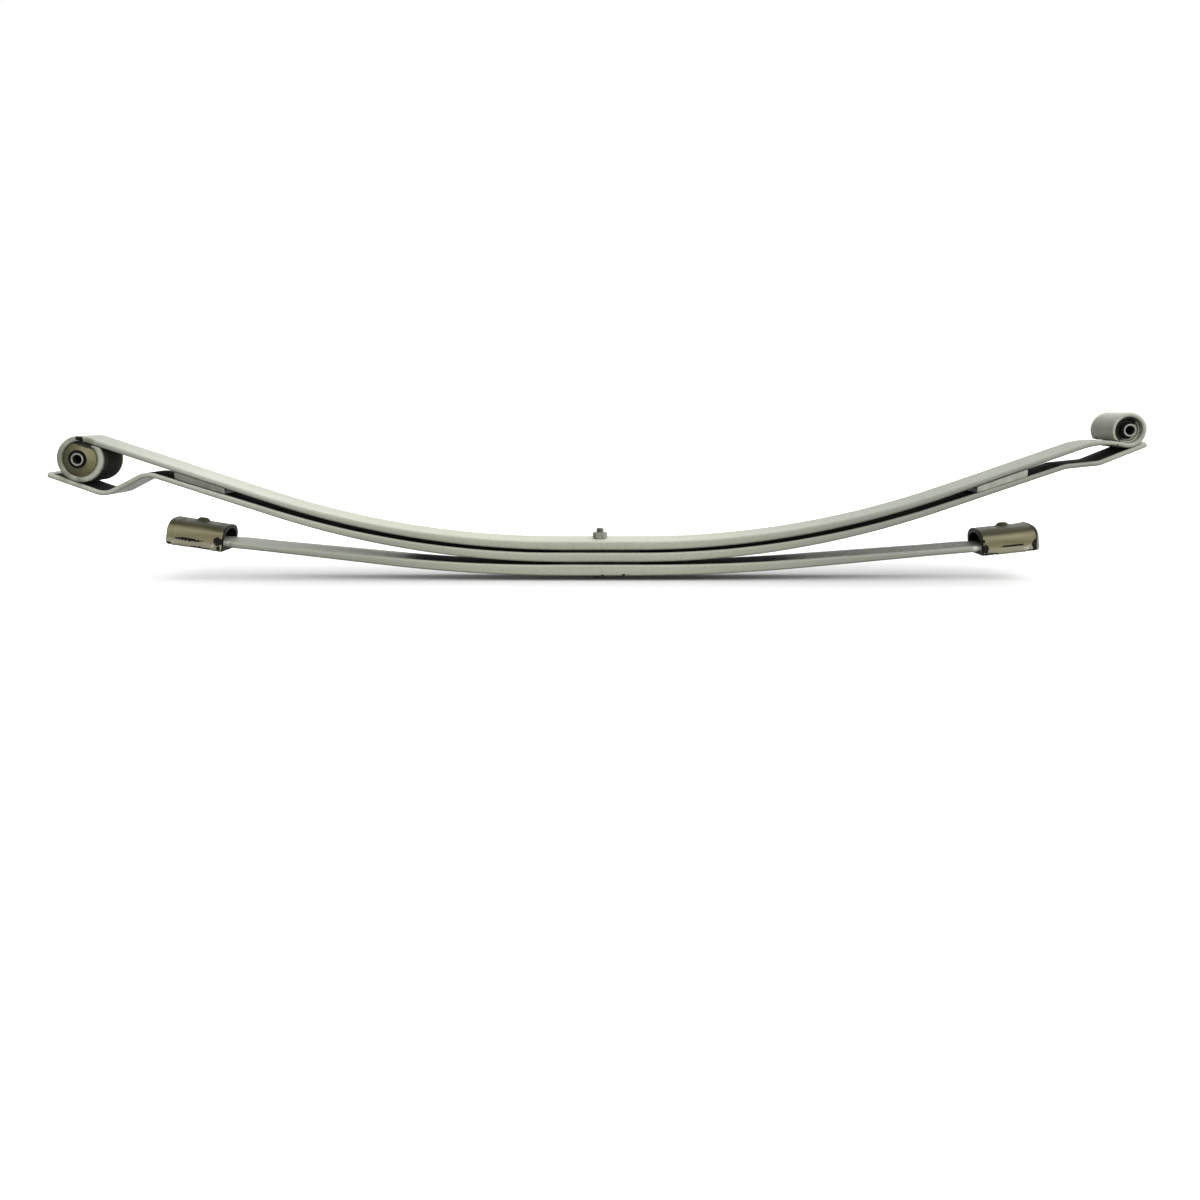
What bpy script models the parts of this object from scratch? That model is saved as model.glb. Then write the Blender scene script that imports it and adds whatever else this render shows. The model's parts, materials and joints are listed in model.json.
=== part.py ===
"""Three-leaf parabolic leaf spring with rubber-bushed eyes and a buffered helper leaf.

Metres, +Z up, +X along the spring. The origin is the middle of the flat end of the centre bolt's head,
which locates the spring on its axle. Arms are laid out going outwards from the bolt; the left arm is the
mirror side, at -X.
"""

import math
from collections import namedtuple

import bmesh
import bpy
from mathutils import Vector

# Leaf stack at the clamp
LEAF_WIDTH = 0.070
SEAT_HALF = 0.050
MAIN_THICK = 0.0112
SECOND_THICK = 0.0116
HELPER_THICK = 0.0140
LEAF_EDGE_RADIUS = 0.0026
MOST_EDGE_SHARE = 0.45
TIP_CORNER = 0.005
CLEARANCE = 0.0003

# Main leaf, left arm: the leaf runs over its eye and rolls down round the bush
LEFT_EYE_REACH = 0.648
LEFT_RADIUS = 1.186
LEFT_SLOPE = math.radians(18.4)
LEFT_EYE_THICK = 0.0068
LEFT_WRAP = math.radians(333)

# Main leaf, right arm: the leaf crests, dips under its eye and rolls up round the bush
RIGHT_EYE_REACH = 0.657
RIGHT_RADIUS = 1.175
RIGHT_SLOPE = math.radians(19.4)
RIGHT_EYE_THICK = 0.0056
RIGHT_WRAP = math.radians(312)
RIGHT_DIP = math.radians(12)
CREST_BACK = 0.0325
CREST_RADIUS = 0.090
SCROLL_GAP = 0.0008

# Second leaf: follows the main leaf, then steps down and wraps under each eye
SECOND_TIP_THICK = 0.0060
SECOND_TAPER_PAST = 0.10
SECOND_EASE = math.radians(0.8)
WRAP_GAP = 0.0003
LEFT_STEP_BACK = 0.0815
LEFT_STEP_DROP = math.radians(27)
LEFT_TAIL_SLOPE = math.radians(19.7)
LEFT_TAIL_PAST = 0.0425
RIGHT_STEP_BACK = 0.076
RIGHT_STEP_DROP = math.radians(-5.7)
RIGHT_TAIL_SLOPE = math.radians(22)
RIGHT_TAIL_PAST = 0.024
STEP_RADIUS = 0.027

# Helper leaf: each end narrows to a tongue that carries a buffer
HELPER_TIP_THICK = 0.0072
HELPER_TIP_WIDTH = 0.057
HELPER_NECK_LENGTH = 0.016
LEFT_HELPER_REACH = 0.539
LEFT_HELPER_RADIUS = 2.07
LEFT_HELPER_SLOPE = math.radians(6.0)
RIGHT_HELPER_REACH = 0.546
RIGHT_HELPER_RADIUS = 2.50
RIGHT_HELPER_SLOPE = math.radians(4.82)

# Spacers between the leaves
CENTRE_LINER_THICK = 0.003
CENTRE_LINER_INSET = 0.004
TIP_LINER_LENGTH = 0.0625
TIP_LINER_INSET = 0.001
LEFT_LINER_BACK = 0.148
RIGHT_LINER_BACK = 0.1546
LINER_EDGE_RADIUS = 0.0008
RIVET_DIA = 0.008
RIVET_BED = 0.004
RIVET_HOLE_PAST = 0.010

# Centre bolt and nut
BOLT_DIA = 0.010
BOLT_HOLE_DIA = 0.011
BOLT_HEAD_DIA = 0.019
BOLT_HEAD_HEIGHT = 0.006
BOLT_END = 0.0055
BOLT_CHAMFER = 0.001
BOLT_PAD_MARGIN = 0.003
NUT_ACROSS_FLATS = 0.016
NUT_HEIGHT = 0.008
NUT_CHAMFER = 0.0004
NUT_CHAMFER_ANGLE = math.radians(30)

# Left bush: the rubber covers the shell's ends and rises as a cone to a groove round the sleeve
LEFT_BUSH_DIA = 0.0435
LEFT_SLEEVE_DIA = 0.016
LEFT_SLEEVE_BORE = 0.0105
LEFT_SLEEVE_PROUD = 0.007
LEFT_SHELL_RECESS = 0.004
LEFT_FACE_RECESS = 0.0012
LEFT_FACE_RISE = 0.0075
LEFT_GROOVE_WIDTH = 0.0030
LEFT_GROOVE_DEPTH = 0.004

# Right bush: shell and rubber sit deep in the eye
RIGHT_BUSH_DIA = 0.0314
RIGHT_SLEEVE_DIA = 0.016
RIGHT_SLEEVE_BORE = 0.0105
RIGHT_SLEEVE_PROUD = 0.001
RIGHT_SHELL_RECESS = 0.008
RIGHT_FACE_RECESS = 0.0105
RIGHT_FACE_RISE = 0.0
RIGHT_GROOVE_WIDTH = 0.0012
RIGHT_GROOVE_DEPTH = 0.002
SHELL_WALL = 0.0018
TURNED_CHAMFER = 0.0006

# Rubber buffers: arched shoes pushed over the helper leaf's ends, their tops tilted to meet the second leaf
BUFFER_LENGTH = 0.072
BUFFER_END_WALL = 0.008
BUFFER_SIDE_WALL = 0.0042
BUFFER_FLOOR = 0.0047
BUFFER_CROWN = 0.0192
BUFFER_SHOULDER_DROP = 0.0055
BUFFER_CORNER = 0.010
BUFFER_END_ROUND = 0.004
LEFT_BUFFER_TILT = math.radians(2.7)
RIGHT_BUFFER_TILT = math.radians(1.4)
TUNNEL_HALF_WIDTH = 0.0265
TUNNEL_HEIGHT = 0.0135
NUB_DIA = 0.019
NUB_HEIGHT = 0.005
NUB_FLAT_DIA = 0.0005

# An arm bends as if hinged this share of its free length out from the clamp
FLEX_SHARE = 0.25

# Facets
SHARP_ANGLE = math.radians(32)
ARM_STEP = math.radians(2)
BEND_STEP = math.radians(9)
ROLL_STEP = math.radians(11.1)
STRAIGHT_STEPS = 5
TURN_STEPS = 40
CORNER_STEPS = 2
ARCH_STEPS = 12
HOLE_STEPS = 24
NUT_STEPS = 36

# Heights worked out from the stack
HELPER_BASE = BOLT_HEAD_HEIGHT + CLEARANCE
LEAF_GAP = CENTRE_LINER_THICK + 2 * CLEARANCE
SECOND_BASE = HELPER_BASE + HELPER_THICK + LEAF_GAP
MAIN_BASE = SECOND_BASE + SECOND_THICK + LEAF_GAP
STACK_TOP = MAIN_BASE + MAIN_THICK
NUT_BASE = STACK_TOP + CLEARANCE
BUFFER_COVER = BUFFER_LENGTH - BUFFER_END_WALL + CLEARANCE
NUT_CORNER_RADIUS = NUT_ACROSS_FLATS / 2 / math.cos(math.pi / 6)
BOLT_PAD_HALF = max(NUT_CORNER_RADIUS, BOLT_HEAD_DIA / 2) + BOLT_PAD_MARGIN

# A place on a leaf's middle line: point and up are (x, z), run is the distance from the bolt
Station = namedtuple("Station", "point up run heading")
# One arm of a leaf: its stations, with the leaf's depth below and above and its half width at each of them
Arm = namedtuple("Arm", "stations below above halves")
Eye = namedtuple("Eye", "x z bore outer")


def clear_scene():
    for obj in list(bpy.data.objects):
        bpy.data.objects.remove(obj, do_unlink=True)


def make_look(name, colour, metallic, roughness):
    look = bpy.data.materials.new(name)
    look.use_nodes = True
    shader = look.node_tree.nodes["Principled BSDF"]
    shader.inputs["Base Color"].default_value = (*colour, 1.0)
    shader.inputs["Metallic"].default_value = metallic
    shader.inputs["Roughness"].default_value = roughness
    return look


def add_pivot(name, x, z):
    """An empty on a joint's axis, which carries the pieces that turn about it."""
    pivot = bpy.data.objects.new(name, None)
    pivot.location = (x, 0.0, z)
    bpy.context.scene.collection.objects.link(pivot)
    return pivot


def add_piece(name, shape, look, parent=None, origin=None):
    """Turns a shape drawn in place into an object whose own origin lies on its joint's axis."""
    base = parent.location.copy() if parent else Vector()
    origin = Vector(origin) if origin else base
    bmesh.ops.translate(shape, vec=-origin, verts=shape.verts)
    mesh = bpy.data.meshes.new(name)
    shape.to_mesh(mesh)
    shape.free()
    mesh.materials.append(look)
    mesh.shade_smooth()
    mesh.set_sharp_from_angle(angle=SHARP_ANGLE)
    piece = bpy.data.objects.new(name, mesh)
    piece.parent = parent
    piece.location = origin - base
    bpy.context.scene.collection.objects.link(piece)
    return piece


def cut(piece, cutter, operation="DIFFERENCE"):
    boolean = piece.modifiers.new(cutter.name, "BOOLEAN")
    boolean.operation = operation
    boolean.solver = "EXACT"
    boolean.object = cutter
    cutter.hide_render = True
    cutter.display_type = "WIRE"


def loft(rings, closed=False):
    """A skin through rings of points. It is capped at both ends unless the rings close on themselves."""
    shape = bmesh.new()
    loops = [[shape.verts.new(point) for point in ring] for ring in rings]
    pairs = list(zip(loops, loops[1:]))
    if closed:
        pairs.append((loops[-1], loops[0]))
    else:
        shape.faces.new(loops[0])
        shape.faces.new(loops[-1])
    for near, far in pairs:
        for i, corner in enumerate(near):
            j = (i + 1) % len(near)
            shape.faces.new((corner, near[j], far[j], far[i]))
    bmesh.ops.recalc_face_normals(shape, faces=shape.faces)
    return shape


def turned(profile, x, z):
    """A ring turned about the Y axis through (x, z) from a closed profile of (radius, y)."""
    angles = [2 * math.pi * i / TURN_STEPS for i in range(TURN_STEPS)]
    rings = [[(x + r * math.cos(a), y, z + r * math.sin(a)) for r, y in profile] for a in angles]
    return loft(rings, closed=True)


def rod(levels, foot=(0.0, 0.0, 0.0), along=(0.0, 0.0, 1.0)):
    """A round solid from (height, radius) levels above its foot."""
    along = Vector(along)
    side = Vector((0.0, 1.0, 0.0))
    front = side.cross(along)
    angles = [2 * math.pi * i / HOLE_STEPS for i in range(HOLE_STEPS)]
    rings = []
    for height, radius in levels:
        centre = Vector(foot) + along * height
        rings.append([centre + (front * math.cos(a) + side * math.sin(a)) * radius for a in angles])
    return loft(rings)


def rounded_section(half_width, below, above, radius):
    """Corner-rounded leaf section as (y, height) points."""
    radius = min(radius, MOST_EDGE_SHARE * (below + above))
    corners = ((1, -below, -90), (1, above, 0), (-1, above, 90), (-1, -below, 180))
    points = []
    for side, level, start in corners:
        middle_y = side * (half_width - radius)
        middle_h = level + (radius if level < 0 else -radius)
        for i in range(CORNER_STEPS + 1):
            angle = math.radians(start + 90 * i / CORNER_STEPS)
            points.append((middle_y + radius * math.cos(angle), middle_h + radius * math.sin(angle)))
    return points


def walk(moves, height):
    """Stations along an arm going outwards from the bolt. A move is (length, turn, steps)."""
    x, z, heading, run = 0.0, height, 0.0, 0.0
    stations = [Station(Vector((x, z)), Vector((0.0, 1.0)), run, heading)]
    for length, turn, steps in moves:
        step, bend = length / steps, turn / steps
        chord = step * math.sin(bend / 2) / (bend / 2) if bend else step
        for _ in range(steps):
            x += chord * math.cos(heading + bend / 2)
            z += chord * math.sin(heading + bend / 2)
            heading += bend
            run += step
            up = Vector((-math.sin(heading), math.cos(heading)))
            stations.append(Station(Vector((x, z)), up, run, heading))
    return stations


def bent_moves(corners, end_x):
    """Moves through rounded corners of (x, heading after, radius, facet angle), out to end_x."""
    moves = [(BOLT_PAD_HALF, 0.0, 1), (SEAT_HALF - BOLT_PAD_HALF, 0.0, 1)]
    heading, last_x, used = 0.0, None, 0.0
    for x, after, radius, facet in corners:
        turn = after - heading
        tangent = radius * math.tan(abs(turn) / 2)
        if last_x is not None:
            moves.append(((x - last_x) / math.cos(heading) - used - tangent, 0.0, STRAIGHT_STEPS))
        moves.append((radius * abs(turn), turn, max(2, round(abs(turn) / facet))))
        heading, last_x, used = after, x, tangent
    moves.append(((end_x - last_x) / math.cos(heading) - used, 0.0, STRAIGHT_STEPS))
    return moves


def first_corner(radius, slope):
    """Where the flat seat's line and the arm's line cross."""
    return SEAT_HALF + radius * math.tan(slope / 2)


def parabolic_depths(stations, thick, tip_thick, reach):
    """Half depths of a leaf that thins by the square root of the distance to its load."""
    least = (tip_thick / thick) ** 2
    depths = []
    for station in stations:
        share = (reach - station.run) / (reach - SEAT_HALF)
        depths.append(thick / 2 * math.sqrt(min(max(share, least), 1.0)))
    return depths


def main_arm(reach, radius, slope, eye_thick, bush_dia, wrap, rolls_down):
    """One arm of the main leaf with its rolled eye, and the eye it makes."""
    bore = bush_dia / 2 + CLEARANCE
    middle = bore + eye_thick / 2
    corners = [(first_corner(radius, slope), slope, radius, ARM_STEP)]
    if not rolls_down:
        corners.append((reach - CREST_BACK, -RIGHT_DIP, CREST_RADIUS, BEND_STEP))
    heading = corners[-1][1]
    side = -1 if rolls_down else 1
    end_x = reach + side * middle * math.sin(heading)
    moves = bent_moves(corners, end_x)
    roll_start = sum(steps for _, _, steps in moves)
    moves.append((middle * wrap, side * wrap, round(wrap / ROLL_STEP)))
    stations = walk(moves, MAIN_BASE + MAIN_THICK / 2)
    centre = stations[roll_start].point + stations[roll_start].up * side * middle
    eye = Eye(centre.x, centre.y, bore, bore + eye_thick)

    inner = parabolic_depths(stations, MAIN_THICK, eye_thick, reach)
    outer = list(inner)
    for i in range(roll_start + 1, len(stations)):
        left_to_close = 2 * math.pi - abs(stations[i].heading - heading)
        if left_to_close < math.pi / 2:
            room = bore / math.cos(left_to_close) - SCROLL_GAP - middle
            outer[i] = min(outer[i], room)
    below, above = (inner, outer) if rolls_down else (outer, inner)
    return Arm(stations, below, above, [LEAF_WIDTH / 2] * len(stations)), eye


def second_arm(eye, radius, slope, step_back, step_drop, tail_slope, tail_past):
    """One arm of the second leaf: down a step and along under the eye, clear of it by the wrap gap."""
    height = SECOND_BASE + SECOND_THICK / 2
    start_x = first_corner(radius, slope)
    step_x = eye.x - step_back
    step_z = height + math.tan(slope) * (step_x - start_x)
    offset = eye.outer + WRAP_GAP + SECOND_TIP_THICK / 2
    tail_x = eye.x + offset * math.sin(tail_slope)
    tail_z = eye.z - offset * math.cos(tail_slope)
    fall, rise = math.tan(step_drop), math.tan(tail_slope)
    meet_x = (step_z + fall * step_x - tail_z + rise * tail_x) / (fall + rise)
    corners = [
        (start_x, slope, radius, ARM_STEP),
        (step_x, -step_drop, STEP_RADIUS, BEND_STEP),
        (meet_x, tail_slope, STEP_RADIUS, BEND_STEP),
    ]
    moves = bent_moves(corners, eye.x + tail_past)
    stations = walk(moves, height)
    depths = parabolic_depths(stations, SECOND_THICK, SECOND_TIP_THICK, eye.x + SECOND_TAPER_PAST)
    return Arm(stations, depths, depths, [LEAF_WIDTH / 2] * len(stations))


def helper_arm(reach, radius, slope):
    """One arm of the helper leaf, necked down to the tongue under its buffer."""
    corners = [(first_corner(radius, slope), slope, radius, ARM_STEP / 2)]
    moves = bent_moves(corners, reach)
    length, turn, steps = moves.pop()
    moves.append((length - HELPER_NECK_LENGTH - BUFFER_COVER, turn, steps))
    moves += [(HELPER_NECK_LENGTH, turn, 1), (BUFFER_COVER, turn, 1)]
    stations = walk(moves, HELPER_BASE + HELPER_THICK / 2)
    depths = parabolic_depths(stations, HELPER_THICK, HELPER_TIP_THICK, reach)
    halves = [LEAF_WIDTH / 2] * (len(stations) - 2) + [HELPER_TIP_WIDTH / 2] * 2
    return Arm(stations, depths, depths, halves)


def arm_rings(arm, side, cropped_tip):
    """An arm's rounded sections in place; side is 1 for the right arm and -1 for the left."""
    rings = []
    for station, below, above, half in zip(*arm):
        rings.append(section_ring(station.point, station.up, side, half, below, above))
    if cropped_tip:
        tip, below, above, half = (values[-1] for values in arm)
        along = Vector((tip.up.y, -tip.up.x))
        shoulder = tip.point - along * TIP_CORNER
        rings.insert(-1, section_ring(shoulder, tip.up, side, half, below, above))
        rings[-1] = section_ring(tip.point, tip.up, side, half - TIP_CORNER, below, above)
    return rings


def section_ring(point, up, side, half_width, below, above):
    section = rounded_section(half_width, below, above, LEAF_EDGE_RADIUS)
    return [(side * (point.x + up.x * h), y, point.y + up.y * h) for y, h in section]


def leaf(left, right, cropped_tips):
    """A whole leaf, from the left tip over the seat to the right tip."""
    left_rings = arm_rings(left, -1, cropped_tips)
    right_rings = arm_rings(right, 1, cropped_tips)
    return loft(left_rings[:0:-1] + right_rings[1:])


def point_at(arm, reach, above):
    """Point and up direction on an arm's top or underside at a distance out from the bolt."""
    for first, last, low, high in zip(arm.stations, arm.stations[1:], arm.below, arm.above):
        if first.point.x <= reach <= last.point.x:
            share = (reach - first.point.x) / (last.point.x - first.point.x)
            middle = first.point.lerp(last.point, share)
            return middle + first.up * (high if above else -low), first.up
    raise ValueError("the place is past the arm's end")


def room_under(arm, point, up):
    """How far a point below an arm lies from the arm's underside, measured along up."""
    for first, last, low, next_low in zip(arm.stations, arm.stations[1:], arm.below, arm.below[1:]):
        start = first.point - first.up * low
        edge = last.point - last.up * next_low - start
        across = up.x * edge.y - up.y * edge.x
        if abs(across) < 1e-12:
            continue
        offset = start - point
        share = (offset.x * up.y - offset.y * up.x) / across
        distance = (offset.x * edge.y - offset.y * edge.x) / across
        if 0 <= share <= 1 and distance > 0:
            return distance
    raise ValueError("no leaf above the liner")


def build_tip_liner(side_name, side, main, second, centre_reach, looks, pivot):
    """A spacer on the second leaf's tip that fills the gap to the main leaf, and its flush rivet."""
    half = TIP_LINER_LENGTH / 2
    rings = []
    for share in (-1.0, -0.5, 0.0, 0.5, 1.0):
        foot, up = point_at(second, centre_reach + share * half, True)
        room = room_under(main, foot, up)
        middle = foot + up * room / 2
        depth = room / 2 - CLEARANCE
        section = rounded_section(LEAF_WIDTH / 2 - TIP_LINER_INSET, depth, depth, LINER_EDGE_RADIUS)
        rings.append([(side * (middle.x + up.x * h), y, middle.y + up.y * h) for y, h in section])
    liner = add_piece(f"{side_name}_tip_liner", loft(rings), looks["liner"], pivot)

    foot, up = point_at(second, centre_reach, False)
    roof, _ = point_at(second, centre_reach, True)
    length = (roof - foot).length + CLEARANCE + RIVET_BED
    along = (side * up.x, 0.0, up.y)
    base = (side * foot.x, 0.0, foot.y)
    radius = RIVET_DIA / 2
    levels = ((0.0, radius), (length, radius))
    add_piece(f"{side_name}_tip_rivet", rod(levels, base, along), looks["zinc"], pivot)
    hole = ((-RIVET_HOLE_PAST, radius + CLEARANCE), (length + CLEARANCE, radius + CLEARANCE))
    cutter = add_piece(f"{side_name}_rivet_hole", rod(hole, base, along), looks["liner"])
    cut(liner, cutter)
    return cutter


def build_bush(side_name, side, eye, sizes, looks, pivot):
    """Outer shell, rubber and inner sleeve of one eye's bush."""
    x, z = side * eye.x, eye.z
    half = LEAF_WIDTH / 2
    outside = eye.bore - CLEARANCE
    shell_in = outside - SHELL_WALL
    shell_end = half - sizes["shell_recess"]
    c = TURNED_CHAMFER
    shell = [
        (shell_in, -shell_end), (outside - c, -shell_end), (outside, -shell_end + c),
        (outside, shell_end - c), (outside - c, shell_end), (shell_in, shell_end),
    ]
    add_piece(f"{side_name}_bush_shell", turned(shell, x, z), looks["shell"], pivot)

    sleeve_out = sizes["sleeve_dia"] / 2
    hole = sleeve_out + CLEARANCE
    body = shell_in - CLEARANCE
    face = half - sizes["face_recess"]
    boss = face + sizes["face_rise"]
    floor = boss - sizes["groove_depth"]
    groove = hole + sizes["groove_width"]
    half_rubber = [(hole, floor), (groove, floor), (groove, boss)]
    if face > shell_end:
        rim = shell_end + CLEARANCE
        half_rubber += [(outside - c, face), (outside, face - c), (outside, rim), (body, rim)]
    else:
        half_rubber += [(body - c, face), (body, face - c)]
    rubber = half_rubber + [(r, -y) for r, y in reversed(half_rubber)]
    add_piece(f"{side_name}_bush_rubber", turned(rubber, x, z), looks["rubber"], pivot)

    bore = sizes["sleeve_bore"] / 2
    end = half + sizes["sleeve_proud"]
    sleeve = [
        (bore, -end + c), (bore + c, -end), (sleeve_out - c, -end), (sleeve_out, -end + c),
        (sleeve_out, end - c), (sleeve_out - c, end), (bore + c, end), (bore, end - c),
    ]
    add_piece(f"{side_name}_bush_sleeve", turned(sleeve, x, z), looks["zinc"], pivot, (x, 0.0, z))


def arch(half_width, low, high):
    """Half an ellipse over a span, from +half_width to -half_width, as (y, height) points."""
    angles = [math.pi * i / ARCH_STEPS for i in range(ARCH_STEPS + 1)]
    return [(half_width * math.cos(a), low + (high - low) * math.sin(a)) for a in angles]


def buffer_outline(inset):
    """The shoe's arched outside: upright sides, round shoulders and a crowned top."""
    half_tip = HELPER_TIP_THICK / 2
    half = HELPER_TIP_WIDTH / 2 + CLEARANCE + BUFFER_SIDE_WALL - inset
    bottom = -half_tip - CLEARANCE - BUFFER_FLOOR + inset
    crown = half_tip + BUFFER_CROWN - inset
    shoulder = crown - BUFFER_SHOULDER_DROP
    corner = BUFFER_CORNER - inset
    points = [(half, bottom)]
    for i in range(CORNER_STEPS * 2 + 1):
        angle = math.pi / 2 * i / (CORNER_STEPS * 2)
        across = half - corner + corner * math.cos(angle)
        points.append((across, shoulder - corner + corner * math.sin(angle)))
    top = arch(half - corner, shoulder, crown)
    points += top[1:-1]
    mirrored = [(-y, h) for y, h in points if y >= half - corner]
    return points + mirrored[::-1]


def buffer_hollow():
    """The shoe's inside: the slot for the leaf's tongue and the arched tunnel over it."""
    slot = HELPER_TIP_WIDTH / 2 + CLEARANCE
    level = HELPER_TIP_THICK / 2 + CLEARANCE
    roof = arch(TUNNEL_HALF_WIDTH, level, level + TUNNEL_HEIGHT)
    return [(slot, -level), (slot, level)] + roof + [(-slot, level), (-slot, -level)]


def build_buffer(side_name, side, arm, tilt, looks, pivot):
    """The rubber shoe over one end of the helper leaf. Its hollow follows the leaf; its outside tilts."""
    tip, up = arm.stations[-1].point, arm.stations[-1].up
    along = Vector((up.y, -up.x))
    outer_end = CLEARANCE + BUFFER_END_WALL
    inner_end = outer_end - BUFFER_LENGTH
    middle = tip + along * (outer_end + inner_end) / 2
    steep = along * math.cos(tilt) + up * math.sin(tilt)
    upright = up * math.cos(tilt) - along * math.sin(tilt)

    def placed(u, y, h):
        spot = tip + along * u + up * h
        return (side * spot.x, y, spot.y)

    def tilted(u, y, h):
        spot = middle + steep * u + upright * h
        return (side * spot.x, y, spot.y)

    half_length = BUFFER_LENGTH / 2
    full, small = buffer_outline(0.0), buffer_outline(BUFFER_END_ROUND / 2)
    rings = [
        [tilted(-half_length, y, h) for y, h in full],
        [tilted(half_length - BUFFER_END_ROUND, y, h) for y, h in full],
        [tilted(half_length, y, h) for y, h in small],
    ]
    shoe = add_piece(f"{side_name}_buffer", loft(rings), looks["buffer"], pivot)

    hollow = buffer_hollow()
    inside = [[placed(u, y, h) for y, h in hollow] for u in (inner_end - BUFFER_END_WALL, CLEARANCE)]
    cut(shoe, add_piece(f"{side_name}_buffer_hollow", loft(inside), looks["buffer"]))

    crown = HELPER_TIP_THICK / 2 + BUFFER_CROWN
    dome = []
    for i in range(ARCH_STEPS // 2):
        angle = math.pi / 2 * i / (ARCH_STEPS // 2)
        dome.append((NUB_HEIGHT * math.sin(angle), NUB_DIA / 2 * math.cos(angle)))
    levels = [(-NUB_HEIGHT / 2, NUB_DIA / 2)] + dome + [(NUB_HEIGHT, NUB_FLAT_DIA / 2)]
    nub = rod(levels, tilted(0.0, 0.0, crown), (side * upright.x, 0.0, upright.y))
    cut(shoe, add_piece(f"{side_name}_buffer_nub", nub, looks["buffer"]), "UNION")


def build_centre_liner(name, base, looks):
    half = CENTRE_LINER_THICK / 2
    section = rounded_section(LEAF_WIDTH / 2 - CENTRE_LINER_INSET, half, half, LINER_EDGE_RADIUS)
    rings = [[(x, y, base + half + h) for y, h in section] for x in (-SEAT_HALF, SEAT_HALF)]
    return add_piece(name, loft(rings), looks["liner"])


def build_bolt(looks):
    """The centre bolt, with the round head that locates the spring on its axle."""
    shank, head = BOLT_DIA / 2, BOLT_HEAD_DIA / 2
    top = NUT_BASE + NUT_HEIGHT + BOLT_END
    levels = (
        (0.0, head - BOLT_CHAMFER), (BOLT_CHAMFER, head), (BOLT_HEAD_HEIGHT, head),
        (BOLT_HEAD_HEIGHT, shank), (top - BOLT_CHAMFER, shank), (top, shank - BOLT_CHAMFER),
    )
    add_piece("centre_bolt", rod(levels), looks["zinc"])


def build_nut(looks):
    """A hexagon nut whose top corners are turned off to a cone."""
    flat = NUT_ACROSS_FLATS / 2
    hole = BOLT_DIA / 2 + CLEARANCE
    top = NUT_BASE + NUT_HEIGHT
    rings = []
    for i in range(NUT_STEPS):
        angle = 2 * math.pi * i / NUT_STEPS
        from_flat = (angle + math.pi / 6) % (math.pi / 3) - math.pi / 6
        edge = flat / math.cos(from_flat)
        side_top = top - (edge - flat) * math.tan(NUT_CHAMFER_ANGLE) - NUT_CHAMFER / 2
        profile = (
            (hole, NUT_BASE), (edge, NUT_BASE), (edge, side_top),
            (flat - NUT_CHAMFER, top), (hole, top),
        )
        rings.append([(r * math.cos(angle), r * math.sin(angle), z) for r, z in profile])
    add_piece("centre_nut", loft(rings, closed=True), looks["nut"])


def flex_pivot(name, side, arm, reach):
    """The point on the arm's middle line about which its end swings as the leaf bends."""
    place = SEAT_HALF + FLEX_SHARE * (reach - SEAT_HALF)
    top, _ = point_at(arm, place, True)
    under, _ = point_at(arm, place, False)
    return add_pivot(name, side * place, (top.y + under.y) / 2)


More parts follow.
